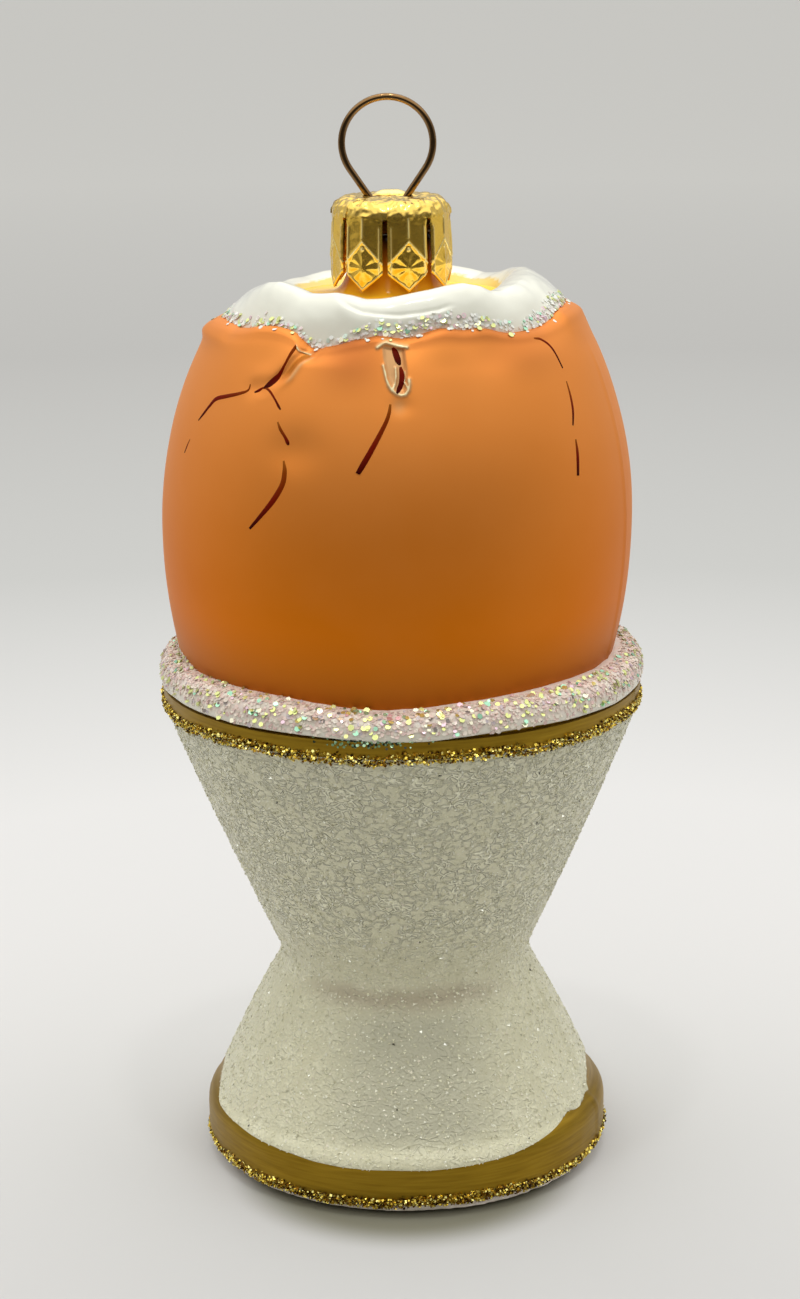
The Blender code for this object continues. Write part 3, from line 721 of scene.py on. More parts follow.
# Brushed crack lines: how dark each starts, then azimuth, height and half-width along it
STROKES = (
    (
        0.25,
        (
            (-43.4, 89.5, 0.05), (-43.7, 88.9, 0.09), (-46.2, 88.5, 0.13), (-51.0, 88.0, 0.16),
            (-55.4, 87.5, 0.17), (-57.6, 86.7, 0.14), (-59.8, 85.7, 0.12), (-61.4, 85.0, 0.06),
        ),
    ),
    (0.3, ((-63.6, 82.9, 0.05), (-64.5, 82.2, 0.10), (-65.3, 81.4, 0.09))),
    (
        0.3,
        (
            (-31.6, 94.05, 0.10), (-32.3, 93.1, 0.12), (-33.3, 91.9, 0.09), (-34.4, 90.9, 0.13),
            (-35.4, 90.3, 0.24), (-36.9, 89.75, 0.24), (-38.6, 89.3, 0.09),
        ),
    ),
    (0.5, ((-38.8, 89.35, 0.07), (-39.9, 89.05, 0.12), (-41.3, 88.8, 0.07))),
    (
        0.3,
        (
            (-39.2, 89.3, 0.04), (-37.4, 89.3, 0.08), (-35.6, 89.0, 0.09), (-33.8, 88.4, 0.08),
            (-32.3, 87.8, 0.10), (-31.5, 87.5, 0.06),
        ),
    ),
    (
        0.1,
        (
            (-31.7, 86.3, 0.06), (-30.6, 85.6, 0.12), (-29.1, 84.9, 0.12), (-28.3, 84.4, 0.15),
            (-28.0, 84.15, 0.08),
        ),
    ),
    (
        0.1,
        (
            (-28.7, 82.6, 0.07), (-28.0, 81.6, 0.17), (-28.2, 80.3, 0.20), (-30.4, 78.6, 0.22),
            (-33.6, 76.9, 0.16), (-36.5, 75.5, 0.10),
        ),
    ),
    (
        0.6,
        (
            (-1.6, 93.85, 0.12), (-1.0, 93.45, 0.24), (-0.4, 92.9, 0.26), (0.0, 92.5, 0.24),
            (0.5, 92.1, 0.10),
        ),
    ),
    (
        0.55,
        (
            (0.6, 91.9, 0.10), (0.95, 91.3, 0.19), (0.95, 90.7, 0.20), (0.7, 90.2, 0.19), (0.2, 89.8, 0.18),
            (-0.3, 89.5, 0.08),
        ),
    ),
    (
        0.1,
        (
            (-2.0, 88.45, 0.08), (-2.3, 87.6, 0.13), (-3.2, 86.6, 0.15), (-6.0, 84.4, 0.19),
            (-8.4, 82.6, 0.20), (-9.5, 81.8, 0.16),
        ),
    ),
    (0.2, ((44.3, 94.0, 0.07), (47.0, 93.7, 0.12), (49.6, 92.7, 0.14), (51.3, 90.4, 0.10))),
    (0.2, ((51.2, 89.1, 0.08), (51.2, 87.6, 0.15), (50.7, 86.2, 0.16), (49.4, 84.8, 0.11))),
    (0.2, ((49.4, 83.4, 0.09), (49.2, 82.0, 0.16), (48.3, 79.8, 0.13))),
    (0.2, ((128.0, 93.6, 0.08), (131.0, 91.8, 0.11), (129.0, 89.6, 0.13), (132.5, 87.2, 0.09))),
    (0.2, ((131.5, 85.8, 0.06), (129.5, 84.0, 0.12), (130.5, 81.6, 0.09))),
    (0.2, ((-142.0, 93.8, 0.08), (-139.5, 92.0, 0.12), (-142.5, 90.2, 0.13), (-140.0, 88.0, 0.09))),
    (0.2, ((-140.5, 86.6, 0.06), (-143.5, 84.8, 0.12), (-146.5, 83.0, 0.09))),
)


class ORNAMENT_OT_cracks(bpy.types.Operator):
    """Crack lines brushed on the shell in red-brown paint"""

    bl_idname = "ornament.cracks"
    bl_label = "Brushed cracks"

    def execute(self, context):
        section = (
            (-1, -0.03), (-0.97, 0.01), (-0.6, 0.04), (0, 0.055), (0.6, 0.04), (0.97, 0.01), (1, -0.03),
        )
        places, faces, shares = [], [], []
        for first_shade, path in STROKES:
            rows = stroke_rows(path, 9)
            along = np.gradient(rows[:, :2] * [math.radians(1) * CRACK_RADIUS, 1.0], axis=0)
            along /= np.linalg.norm(along, axis=1)[:, None]
            first, sides = len(places), len(section)
            for i, (azimuth, height, half) in enumerate(rows):
                for across, out in section:
                    step = across * 1.3 * half * np.array([-along[i][1], along[i][0]])
                    a, h = azimuth + math.degrees(step[0] / CRACK_RADIUS), height + step[1]
                    places.append(shell_place(np.array(a), np.array(h), out))
                    shares.append(first_shade + (1 - first_shade) * i / (len(rows) - 1))
            for i in range(len(rows) - 1):
                for j in range(sides):
                    a, b = first + i * sides + j, first + i * sides + (j + 1) % sides
                    faces.append((a, b, b + sides, a + sides))
            faces.append(tuple(range(first + sides - 1, first - 1, -1)))
            faces.append(tuple(range(first + (len(rows) - 1) * sides, first + len(rows) * sides)))
        strokes = from_arrays("crack_strokes", np.array(places) * MM, faces)
        mark(strokes, "along", shares)
        only(strokes)
        turn_outward()
        # Enamel paint put on with a pointed brush: thin and brown where the brush starts, pooled and dark red
        # where it stops
        paint = new_material("brushed_red_brown_enamel", Roughness=0.5, Specular_IOR_Level=0.05)
        along = add_node(paint, "Attribute", out="Fac", attribute_name="along")
        ramp = add_node(
            paint, "ValToRGB", {"Fac": along},
            stops=(
                (0.0, linear("#A8641A")), (0.3, context.scene.ornament_colours.crack),
                (0.65, linear("#781400")), (1.0, linear("#340200")),
            ),
        )
        to_shader(paint, Base_Color=ramp)
        finished(strokes, "glass_body", paint, 60)
        return {"FINISHED"}


class ORNAMENT_OT_top(bpy.types.Operator):
    """Thick glossy white round the opening, with the yolk and the neck inside it"""

    bl_idname = "ornament.top"
    bl_label = "White and yolk"

    def execute(self, context):
        colours = context.scene.ornament_colours
        shares = np.concatenate([np.linspace(0, 1, 46), np.linspace(1, 2, 26)[1:]])
        rows = [(18.5 - 6.5 * share / 2, 96 + share) for share in shares]
        white = turned("egg_white", [(0.0, 93.0), (18.4, 93.0), *rows, (0.0, 95.3)], 360)
        azimuth, radius, height = cylindrical(vertices_of(white))
        share = np.clip(height - 96, 0, 2)
        body = height > 95.99

        def shape(azimuth, radius, height):
            places = white_place(azimuth, share)
            swell = 0.10 * rough(places, 3.4) + 0.03 * rough(places, 1.3, 3)
            fade = smooth(share * 4) * smooth((2 - share) * 3)
            places = places + placed(azimuth, swell * fade, swell * fade)
            return np.where(
                body[:, None], places,
                placed(azimuth, radius - edge_inset(azimuth) * (radius > 1), height, lean(height)),
            )

        mark(white, "toward_yolk", np.where(body, share - 0.6 * right_lobe(azimuth) * (share > 1), 0))
        reshape(white, shape)
        # Porcelain-like gloss enamel, thick and wet-looking, with the yolk's yellow dry-brushed over its
        # inner edge
        gloss = new_material(
            "white_gloss_enamel", Roughness=0.2, Sheen_Weight=0.4, Sheen_Roughness=0.5, Coat_Weight=0.4,
            Coat_Roughness=0.08,
        )
        place = add_node(gloss, "TexCoord", out="Object")
        streak = add_node(
            gloss, "TexNoise", {"Vector": place, "Scale": per(1.5), "Detail": 6.0, "Roughness": 0.7},
        )
        inner = add_node(gloss, "Attribute", out="Fac", attribute_name="toward_yolk")
        reach = add_node(
            gloss, "MapRange",
            {"Value": inner, "From Min": 1.25, "From Max": 1.95, "To Min": -0.35, "To Max": 0.75},
        )
        brushed = add_node(gloss, "Math", {0: reach, 1: streak}, operation="ADD")
        yellow = add_node(gloss, "MapRange", {"Value": brushed, "From Min": 0.62, "From Max": 0.85})
        to_shader(
            gloss,
            Base_Color=add_node(
                gloss, "Mix", {"Factor": yellow, 6: colours.white, 7: linear("#FFD83A")}, 2,
                data_type="RGBA",
            ),
        )
        finished(white, "glass_body", gloss, 80)

        dome = np.concatenate([
            curve((13.2, 95.2), (12.6, 96.0), (11.6, 96.0), 8),
            curve((11.4, 96.0), (8.4, 96.25), (7.0, 96.45), 12)[1:],
            curve((7.0, 96.45), (4.9, 96.6), (NECK_RADIUS, 99.5), 14)[1:],
            [(NECK_RADIUS, 101.0), (NECK_RADIUS, 102.2), (4.5, 102.8), (4.2, NECK_TOP)],
        ])
        yolk = turned("yolk", [(0.0, 94.6), *[tuple(row) for row in dome], (0.0, NECK_TOP)], 160)

        def settle(azimuth, radius, height):
            shift = NECK_SHIFT + (lean(96) - NECK_SHIFT) * np.clip((radius - 7) / 5, 0, 1)
            places = placed(azimuth, radius, height, shift)
            return places + placed(azimuth, 0, 0.08 * rough(places, 4.0) * smooth((radius - 5) / 2))

        reshape(yolk, settle)
        # Transparent amber lacquer over silvered glass: yellow where it is thin on the dome, amber towards
        # the neck, and darkened to a dark red-brown, nearly black, up the neck as painted shade under the cap
        lacquer = new_material("amber_lacquered_glass", Roughness=0.16, Specular_IOR_Level=0.2)
        place = add_node(lacquer, "TexCoord", out="Object")
        centred = add_node(
            lacquer, "Mapping", {"Vector": place, "Location": (-NECK_SHIFT * MM, 0, 0), "Scale": (1, 1, 0)},
        )
        away = add_node(lacquer, "VectorMath", {0: centred}, "Value", operation="LENGTH")
        near = add_node(lacquer, "MapRange", {"Value": away, "From Min": 12 * MM, "From Max": 4.6 * MM})
        dome = add_node(
            lacquer, "ValToRGB", {"Fac": near},
            stops=(
                (0.1, linear("#FFE21C")), (0.5, colours.yolk), (0.8, linear("#FCBC2C")),
                (0.97, colours.amber),
            ),
        )
        height = add_node(lacquer, "SeparateXYZ", {0: place}, "Z")
        # Painted shade: up the neck, under the cap, the lacquer darkens to nearly black
        up = add_node(lacquer, "MapRange", {"Value": height, "From Min": 99 * MM, "From Max": 102.5 * MM})
        ramp = add_node(
            lacquer, "Mix", {"Factor": up, 6: dome, 7: (0.02, 0.004, 0.001, 1)}, 2, data_type="RGBA",
        )
        to_shader(lacquer, Base_Color=ramp)
        finished(yolk, "glass_body", lacquer, 80)
        return {"FINISHED"}


class ORNAMENT_OT_cup(bpy.types.Operator):
    """Egg cup: base, gold bands, frosted coat and rolled collar"""

    bl_idname = "ornament.cup"
    bl_label = "Egg cup"

    def execute(self, context):
        colours, coat = context.scene.ornament_colours, context.scene.ornament_sizes.coat / MM

        def seamed(out):
            def shape(azimuth, radius, height):
                ridge = seam_ridge(azimuth, radius) * smooth((radius - 12) * 2)
                places = placed(azimuth, radius + ridge, height)
                return places + placed(azimuth, out * rough(places, 1.2), 0 * azimuth)
            return shape

        # White enamel left bare under the foot, lightly crusted
        enamel = new_material("white_enamel", Roughness=0.6, Base_Color=(*linear("#FBF0E6"), 1))
        place = add_node(enamel, "TexCoord", out="Object")
        crust = add_node(enamel, "TexNoise", {"Vector": place, "Scale": per(0.5), "Detail": 4.0})
        bump = add_node(enamel, "Bump", {"Strength": 0.8, "Distance": 0.1 * MM, "Height": crust})
        to_shader(enamel, Normal=bump)
        heights = np.linspace(0, 1.4, 13)
        base = turned(
            "foot_base", [(0.0, 0.0), *[(float(wall_radius(h)) - 0.02, h) for h in heights], (0.0, 1.45)],
            240,
        )

        def beaded(azimuth, radius, height):
            places = placed(azimuth, radius, height)
            bead = (0.25 + 0.3 * bell(azimuth - 25, 40)) * (1 + 0.6 * rough(places, 0.9, 11)) * bell(
                height - 0.62, 0.32,
            )
            return placed(azimuth, radius + bead * (radius > 18), height)

        reshape(base, beaded)
        finished(base, "glass_body", enamel, 60)

        # Gold bronze paint brushed on in one coat: a soft metallic sheen with faint brush lines round the cup
        paint = new_material("gold_bronze_paint", Metallic=1.0, Roughness=0.42)
        place = add_node(paint, "TexCoord", out="Object")
        stretch = add_node(
            paint, "Mapping", {"Vector": place, "Scale": (1, 1, 0.06)}, vector_type="TEXTURE",
        )
        brush = add_node(paint, "TexNoise", {"Vector": stretch, "Scale": per(5), "Detail": 4.0})
        shade = add_node(
            paint, "Mix", {"Factor": brush, 6: linear("#785A12"), 7: colours.gold}, 2, data_type="RGBA",
        )
        bump = add_node(paint, "Bump", {"Strength": 0.3, "Distance": 0.05 * MM, "Height": brush})
        to_shader(paint, Base_Color=shade, Normal=bump)
        heights = even_rows(1.3, 12.1, 0.36)
        foot = turned("foot_gold", turn_rows([(float(wall_radius(h)), h) for h in heights], 1.3, 12.1), 240)
        heights = np.array([52.2, 52.6, 53.0, 53.4, 53.8, 54.2, 54.45, 54.55, 54.95])
        rim = turned(
            "rim_gold",
            turn_rows([(float(wall_radius(h)) - 0.5 * (h > 54.5), h) for h in heights], 52.2, 54.95), 240,
        )
        for band in (foot, rim):
            reshape(band, seamed(0.03))
        bands = joined("gold_bands", [foot, rim])
        finished(bands, "glass_body", paint, 60)

        # White paint rolled in crushed glass: a crusty, faintly sparkling frost in flat patches
        frost = new_material("glass_frosted_paint", Roughness=0.45, Sheen_Weight=0.3, Sheen_Roughness=0.5)
        place = add_node(frost, "TexCoord", out="Object")
        grit = add_node(frost, "TexVoronoi", {"Vector": place, "Scale": per(0.34)}, feature="F1")
        haze = add_node(
            frost, "TexNoise", {"Vector": place, "Scale": per(2.2), "Detail": 6.0, "Roughness": 0.65},
        )
        tone = add_node(
            frost, "ValToRGB", {"Fac": haze},
            stops=((0.3, linear("#D0CBA8")), (0.5, colours.frost), (0.7, linear("#EEEACC"))),
        )
        grain = add_node(frost, "MapRange", {"Value": grit, "From Min": 0.15, "From Max": 0.75})
        coat_tone = add_node(
            frost, "Mix", {"Factor": grain, 6: tone, 7: linear("#D8D4B4")}, 2, data_type="RGBA",
        )
        # Flat overlapping scabs of paint: the borders stand up as short ridges, broken where the coat
        # is thin, and are painted pale as a highlight
        torn = add_node(frost, "TexNoise", {"Vector": place, "Scale": per(1.2), "Detail": 1.0}, "Color")
        pull = add_node(frost, "VectorMath", {0: torn, "Scale": 1.0 * MM}, operation="SCALE")
        moved = add_node(frost, "VectorMath", {0: place, 1: pull}, operation="ADD")
        flat = add_node(frost, "Mapping", {"Vector": moved, "Scale": (1, 1, 1.7)})
        scabs = add_node(
            frost, "TexVoronoi", {"Vector": flat, "Scale": per(1.2)}, feature="DISTANCE_TO_EDGE",
        )
        ridge = add_node(frost, "MapRange", {"Value": scabs, "From Min": 0.17, "From Max": 0.05})
        whole = add_node(frost, "MapRange", {"Value": haze, "From Min": 0.42, "From Max": 0.54})
        crusty = add_node(frost, "Attribute", out="Fac", attribute_name="crusty")
        broken = add_node(frost, "Math", {0: ridge, 1: whole}, operation="MULTIPLY")
        crest = add_node(frost, "Math", {0: broken, 1: crusty}, operation="MULTIPLY")
        full = add_node(frost, "Math", {0: crusty, 1: 0.22}, operation="MULTIPLY")
        # Painted highlight: the ridges turn pale
        pale = add_node(frost, "Math", {0: crest, 1: 0.9}, operation="MULTIPLY")
        coat_tone = add_node(
            frost, "Mix", {"Factor": full, 6: coat_tone, 7: linear("#FFFCDC")}, 2, data_type="RGBA",
        )
        coat_tone = add_node(
            frost, "Mix", {"Factor": pale, 6: coat_tone, 7: linear("#FFFCDC")}, 2, data_type="RGBA",
        )
        # Painted shade: a brownish band just below the narrow of the waist, where the cup shades the
        # top of the foot, and a greyer tone on the front of the foot in place of its darker reflection
        waist = add_node(frost, "Attribute", out="Fac", attribute_name="waist")
        painted_front_shade = add_node(frost, "Attribute", out="Fac", attribute_name="painted_front_shade")
        # Painted shade: greyer on the front of the foot
        coat_tone = add_node(
            frost, "Mix", {"Factor": painted_front_shade, 6: coat_tone, 7: linear("#BCB9A0")}, 2, data_type="RGBA",
        )
        # Painted shade: the brownish band below the waist
        coat_tone = add_node(
            frost, "Mix", {"Factor": waist, 6: coat_tone, 7: linear("#97826A")}, 2, data_type="RGBA",
        )
        bump = add_node(frost, "Bump", {"Strength": 0.5, "Distance": 0.12 * MM, "Height": grit})
        bump = add_node(
            frost, "Bump", {"Strength": 1.0, "Distance": 0.3 * MM, "Height": crest, "Normal": bump},
        )
        to_shader(frost, Base_Color=coat_tone, Normal=bump)
        heights = np.concatenate(
            [even_rows(6.0, 12.0, 0.25), even_rows(12.5, 50.5, 0.5), even_rows(50.75, 52.6, 0.2)]
        )
        rows = [(float(wall_radius(h)) + coat, h) for h in heights]
        cup = turned("cup_frost", [(0.0, 6.0), (19.0, 6.0), *rows, (0.0, 52.6)], 280)

        def crusted(azimuth, radius, height):
            edge = around(FROST_EDGE, azimuth) + 0.06 * rough(
                placed(azimuth, 22 + 0 * radius, 0 * height), 2.5, 8,
            )
            wall = radius > wall_radius(height) - 1
            moved = np.where(height < 12, edge + (height - 6) / 6 * (12 - edge), height)
            outward = wall_radius(moved) + coat * smooth(0.35 + (moved - edge) / 0.5)
            outward = outward + seam_ridge(azimuth, outward) * (1 + 1.3 * smooth((21 - moved) / 3))
            places = placed(azimuth, np.where(wall, outward, radius), moved)
            return places + placed(azimuth, 0.04 * rough(places, 0.9) * wall, 0 * azimuth)

        azimuth, _, height = cylindrical(vertices_of(cup))
        front = smooth((62 - np.abs(azimuth)) / 40)
        ragged = 0.4 * rough(vertices_of(cup) / MM, 2.5, 9)
        # Painted shade: the band below the waist, strongest on the front
        mark(cup, "waist", 0.55 * front * bell(height - 21.9 + ragged, 1.0))
        mark(cup, "crusty", 0.25 + 0.75 * smooth((height - 25) / 6))
        # Painted shade: the front of the foot, greyer where it reflects the dark side of the room
        mark(
            cup, "painted_front_shade",
            0.75 * smooth((42 - np.abs(azimuth - 3)) / 34)
            * smooth((22 - height) / 3) * smooth((height - 7) / 2.5),
        )
        reshape(cup, crusted)
        finished(cup, "glass_body", frost, 80)

        # Glue and pearl-white paint that the clear glitter sits in, faintly pink on top
        pearl = new_material("pearl_white_glue", Roughness=0.45, Sheen_Weight=0.2, Sheen_Roughness=0.5)
        place = add_node(pearl, "TexCoord", out="Object")
        cloud = add_node(pearl, "TexNoise", {"Vector": place, "Scale": per(1.4), "Detail": 4.0})
        tone = add_node(
            pearl, "ValToRGB", {"Fac": cloud},
            stops=((0.35, linear("#EFE4D2")), (0.55, linear("#FAE8DC")), (0.7, linear("#FFF8EC"))),
        )
        height = add_node(pearl, "SeparateXYZ", {0: place}, "Z")
        top = add_node(
            pearl, "MapRange", {"Value": height, "From Min": 55.0 * MM, "From Max": 56.4 * MM},
            interpolation_type="SMOOTHSTEP",
        )
        shade = add_node(pearl, "Mix", {"Factor": top, 6: linear("#F4EEDC"), 7: tone}, 2, data_type="RGBA")
        bump = add_node(pearl, "Bump", {"Strength": 0.5, "Distance": 0.1 * MM, "Height": cloud})
        to_shader(pearl, Base_Color=shade, Normal=bump)
        rows = np.concatenate([
            curve((25.9, 54.7), (26.25, 54.65), (26.25, 55.2), 4),
            curve((26.25, 55.5), (26.2, 57.75), (25.0, 57.75), 12),
            curve((24.7, 57.78), (23.9, 57.9), (23.0, 57.95), 6),
        ])
        collar = turned("collar", turn_rows(rows, 54.8, 57.0), 280)

        def rolled(azimuth, radius, height):
            places = placed(azimuth, radius, height)
            lumps = 0.10 * rough(places, 2.5) + 0.06 * rough(places, 0.8, 2)
            wave = 0.12 * rough(placed(azimuth, 25 + 0 * radius, 0 * height), 4.0, 5)
            sag = smooth((height - 55) / 2.4)
            wave = wave - 0.8 * bell(
                azimuth + 4, 20,
            ) * sag - (0.3 * bell(azimuth, 12) - 0.3 * bell(azimuth - 26, 12)) * (1 - sag)
            return np.where(
                (radius > 20)[:, None], places + placed(azimuth, lumps, lumps * 0.8 + wave), places,
            )

        reshape(collar, rolled)
        finished(collar, "glass_body", pearl, 80)
        return {"FINISHED"}


# ---------------------------------------------------------------- glitter


def spread(pieces, count, share, generator):
    """Places and normals spread over the faces of pieces, as dense as share says."""
    corners = []
    for piece in pieces:
        mesh = piece.data
        mesh.calc_loop_triangles()
        indices = np.empty(len(mesh.loop_triangles) * 3, np.int32)
        mesh.loop_triangles.foreach_get("vertices", indices)
        corners.append(vertices_of(piece)[indices.reshape(-1, 3)])
    a, b, c = np.concatenate(corners).transpose(1, 0, 2)
    normal = np.cross(b - a, c - a)
    area = np.linalg.norm(normal, axis=1)
    weight = area * share(*cylindrical((a + b + c) / 3))
    chosen = generator.choice(len(a), size=count, p=weight / weight.sum())
    u, v = generator.random((2, count, 1))
    u, v = np.where(u + v > 1, 1 - u, u), np.where(u + v > 1, 1 - v, v)
    places = a[chosen] * (1 - u - v) + b[chosen] * u + c[chosen] * v
    return places, normal[chosen] / np.maximum(area[chosen], 1e-15)[:, None]


def chips(name, places, normals, sizes, thickness, tilt, lift, sides, tints, generator):
    """One mesh of closed flat chips that lie on places, each tilted, with its own tint.

    A tint's fourth number says how far the chip is a mirror. Plain chips lie on the surface, turned up by
    lift; mirrors lean back halfway to level all round the ornament, so that they catch the light from above.
    """
    count = len(places)
    mirror = tints[:, 3:]
    outward = places * [1, 1, 0] / np.linalg.norm(places[:, :2], axis=1)[:, None]
    leaning = 0.65 * outward + np.array([0, 0, 0.76])
    plain = normals + np.array([0, 0, lift])
    way = plain * (1 - mirror) + leaning * mirror + generator.normal(0, tilt, (count, 3))
    way /= np.linalg.norm(way, axis=1)[:, None]
    side = np.cross(way, generator.normal(size=(count, 3)))
    side /= np.linalg.norm(side, axis=1)[:, None]
    other = np.cross(way, side)
    turn = math.tau * (np.arange(sides) + generator.uniform(-0.12, 0.12, (count, sides))) / sides
    ring = sizes[
        :, None, None,
    ] / 2 * (np.cos(turn)[..., None] * side[:, None] + np.sin(turn)[..., None] * other[:, None])
    half = (way * thickness / 2)[:, None]
    middle = places[:, None]
    corners = np.concatenate([middle + ring + half, middle + ring - half], axis=1)
    faces = []
    for first in range(0, count * 2 * sides, 2 * sides):
        faces.append(tuple(range(first, first + sides)))
        faces.append(tuple(range(first + 2 * sides - 1, first + sides - 1, -1)))
        for i in range(sides):
            j = (i + 1) % sides
            faces.append((first + j, first + i, first + i + sides, first + j + sides))
    piece = from_arrays(name, corners.reshape(-1, 3), faces)
    layer = piece.data.color_attributes.new("tint", "FLOAT_COLOR", "POINT")
    shades = np.repeat(tints, 2 * sides, axis=0)
    layer.data.foreach_set("color", shades.astype(np.float32).ravel())
    return piece


def tinted(material):
    tint = add_node(material, "Attribute", attribute_name="tint")
    to_shader(material, Base_Color=tint, Metallic=tint.node.outputs["Alpha"])
    return material


def picked(choices, count, generator):
    """Random tints, each a little lighter or darker, from hex colours, their weights and mirror shares."""
    shades = np.array([(*linear(shade), mirror) for shade, _, mirror in choices])
    weights = np.array([weight for _, weight, _ in choices])
    chosen = generator.choice(len(shades), size=count, p=weights / weights.sum())
    lighter = generator.uniform(0.85, 1.05, (count, 1))
    return np.c_[np.minimum(shades[chosen, :3] * lighter, 1), shades[chosen, 3]]


class ORNAMENT_OT_glitter(bpy.types.Operator):
    """Gold glitter along the bands, clear glitter on the collar and the torn edge, glass frost on the cup"""

    bl_idname = "ornament.glitter"
    bl_label = "Glitter and frost"

    def execute(self, context):
        sizes = context.scene.ornament_sizes
        generator = np.random.default_rng(7)
        pieces = bpy.data.objects
        cup, bands, base, collar = (pieces[n] for n in ("cup_frost", "gold_bands", "foot_base", "collar"))

        def gold_line(azimuth, radius, height):
            rim = 52.65 + 0.18 * np.sin(np.radians(azimuth * 7)) + 0.1 * np.sin(np.radians(azimuth * 19 + 40))
            foot = 1.9 + 0.15 * np.sin(np.radians(azimuth * 5 + 20)) + 0.1 * np.sin(np.radians(azimuth * 17))
            near = np.minimum(np.abs(height - rim), np.abs(height - foot) - 0.1)
            return np.where(radius > 21, smooth((0.68 - near) / 0.25), 0)

        count = sizes.gold_count
        places, normals = spread([cup, bands, base], count, gold_line, generator)
        places = places + normals * generator.uniform(0, 0.28, (count, 1)) * MM
        grains = sizes.gold_grain * generator.uniform(0.6, 1.3, count)
        tints = picked(
            (
                ("#FFF090", 3.5, 1), ("#FFE060", 4, 1), ("#C89C30", 1.2, 0.7), ("#7A5008", 2, 0.5),
                ("#3A2002", 2, 0.4),
            ),
            count, generator,
        )
        gold = chips("gold_glitter", places, normals, grains, 0.04 * MM, 0.55, 0.4, 4, tints, generator)
        # Flakes cut from gold-coated film: small mirrors, each bright or dark by its tilt
        film = tinted(new_material("gold_film_glitter", Roughness=0.25, Specular_IOR_Level=0.1))
        finished(gold, "glass_body", film, 20)

        def pearl_line(azimuth, radius, height):
            on_collar = (height < 58.6) & (radius > egg_radius(height) + 0.45)
            torn = height - around(TORN_EDGE, azimuth)
            reach = 1.3 + 0.8 * bell(azimuth - 6, 22) + 0.7 * bell(
                azimuth - 62, 16,
            ) - 0.5 * bell(azimuth + 20, 6)
            band = smooth((torn + 0.15) / 0.25) * smooth((reach - torn) / 0.9)
            low = 0.2 + 0.55 * bell(azimuth, 50)
            collar_share = low * smooth((height - 54.9) / 0.5) + (1 - low) * smooth((height - 55.7) / 1.0)
            stray = 2.0 * bell(
                azimuth + 8, 7,
            ) * smooth((height - 53.8) / 0.3) * (height < 54.62) * (radius > 25)
            on_edge = np.where((height > 90) & (radius > 16.5), 0.7 * band, 0)
            return np.where(height < 54.66, stray, np.where(on_collar, collar_share, on_edge))

        count = sizes.clear_count
        places, normals = spread(
            [collar, bands, pieces["egg_white"], pieces["egg_shell"]], count, pearl_line, generator,
        )
        flakes = sizes.clear_flake * generator.uniform(0.6, 1.35, count)
        sparks = (
            ("#ECF2A0", 1.5, 0.8), ("#FFFADC", 0.4, 0.7), ("#B4ECC8", 0.5, 0.8), ("#F8D8E4", 0.2, 0.7),
        )
        on_cup = picked(
            (
                ("#F4DCCE", 8, 0), ("#EACAC0", 4, 0), ("#FCEEDC", 6, 0),
                ("#DCCED0", 1.2, 0), ("#FAF0DE", 5, 0),
                ("#8C807A", 0.3, 0), *sparks,
            ),
            count, generator,
        )
        on_white = picked(
            (
                ("#FFFFF4", 8, 0), ("#FFF6EC", 4, 0), ("#FBDDE0", 1.5, 0),
                ("#E8FAE8", 2.0, 0), ("#A8A494", 0.1, 0),
                *[(shade, 1.2 * weight, 0.5) for shade, weight, _ in sparks],
            ),
            count, generator,
        )
        strays = picked((("#86AC80", 3, 0), ("#C4ECC0", 2, 0.4), ("#2E3824", 4, 0)), count, generator)
        height = places[:, 2:] / MM
        tints = np.where(height > 80, on_white, np.where(height < 54.64, strays, on_cup))
        places = places + normals * (generator.uniform(0, 0.08, (count, 1)) + 0.1 * tints[:, 3:]) * MM
        flakes = flakes * np.where(height[:, 0] < 54.64, 0.6, 1) * (1 + 0.25 * tints[:, 3])
        clear = chips("clear_glitter", places, normals, flakes, 0.03 * MM, 0.16, 0.3, 6, tints, generator)
        # Flakes of clear iridescent film: most lie pale and pearly, a few flash white, yellow or mint
        film = tinted(new_material("clear_iridescent_glitter", Roughness=0.22))
        finished(clear, "glass_body", film, 20)

        def frosted(azimuth, radius, height):
            return np.where((radius > 12) & (height < 52.0), 1.0, 0)

        count = sizes.frost_count
        places, normals = spread([cup], count, frosted, generator)
        places = places + normals * generator.uniform(-0.02, 0.06, (count, 1)) * MM
        grains = sizes.frost_chip * generator.uniform(0.5, 1.3, count)
        tints = picked(
            (
                ("#ECE9CA", 6, 0), ("#FAF8E2", 4, 0), ("#DAD6B6", 4, 0), ("#EFE8D0", 2, 0),
                ("#C8C4A4", 1.5, 0), ("#4A4838", 0.05, 0), ("#FFFFF0", 0.3, 1),
            ),
            count, generator,
        )
        crushed = chips("glass_frost", places, normals, grains, 0.05 * MM, 0.3, 0.3, 3, tints, generator)
        # Crushed clear glass: splinters that lie nearly flat and catch the light one by one
        glass = tinted(
            new_material("crushed_glass_frost", Roughness=0.25, Coat_Weight=0.3, Coat_Roughness=0.1)
        )
        finished(crushed, "glass_body", glass, 20)
        return {"FINISHED"}


# ---------------------------------------------------------------- cap and hanger

PETALS, PETAL_MIDDLE, PETAL_HALF, SLIT_TOP = 8, 16.5, 20.0, 104.8
CAP_R, CAP_T, CAP_TURN = 6.25, 106.6, 1.75
PETAL_SHOULDER, PETAL_TIP = 99.1, 97.3
LOOP_RADIUS, LOOP_MIDDLE, LOOP_SETBACK, LEG_SLANT = 4.78, 112.1, -0.2, 34.5
LEG_BEND, LEG_REACH, LEG_END = 105.9, 0.6, 103.7


def below_diamond(across, height):
    """Millimetres inside the two upper sides of a petal's diamond."""
    return (102.6 - height - np.abs(across) * 1.06) / 1.46


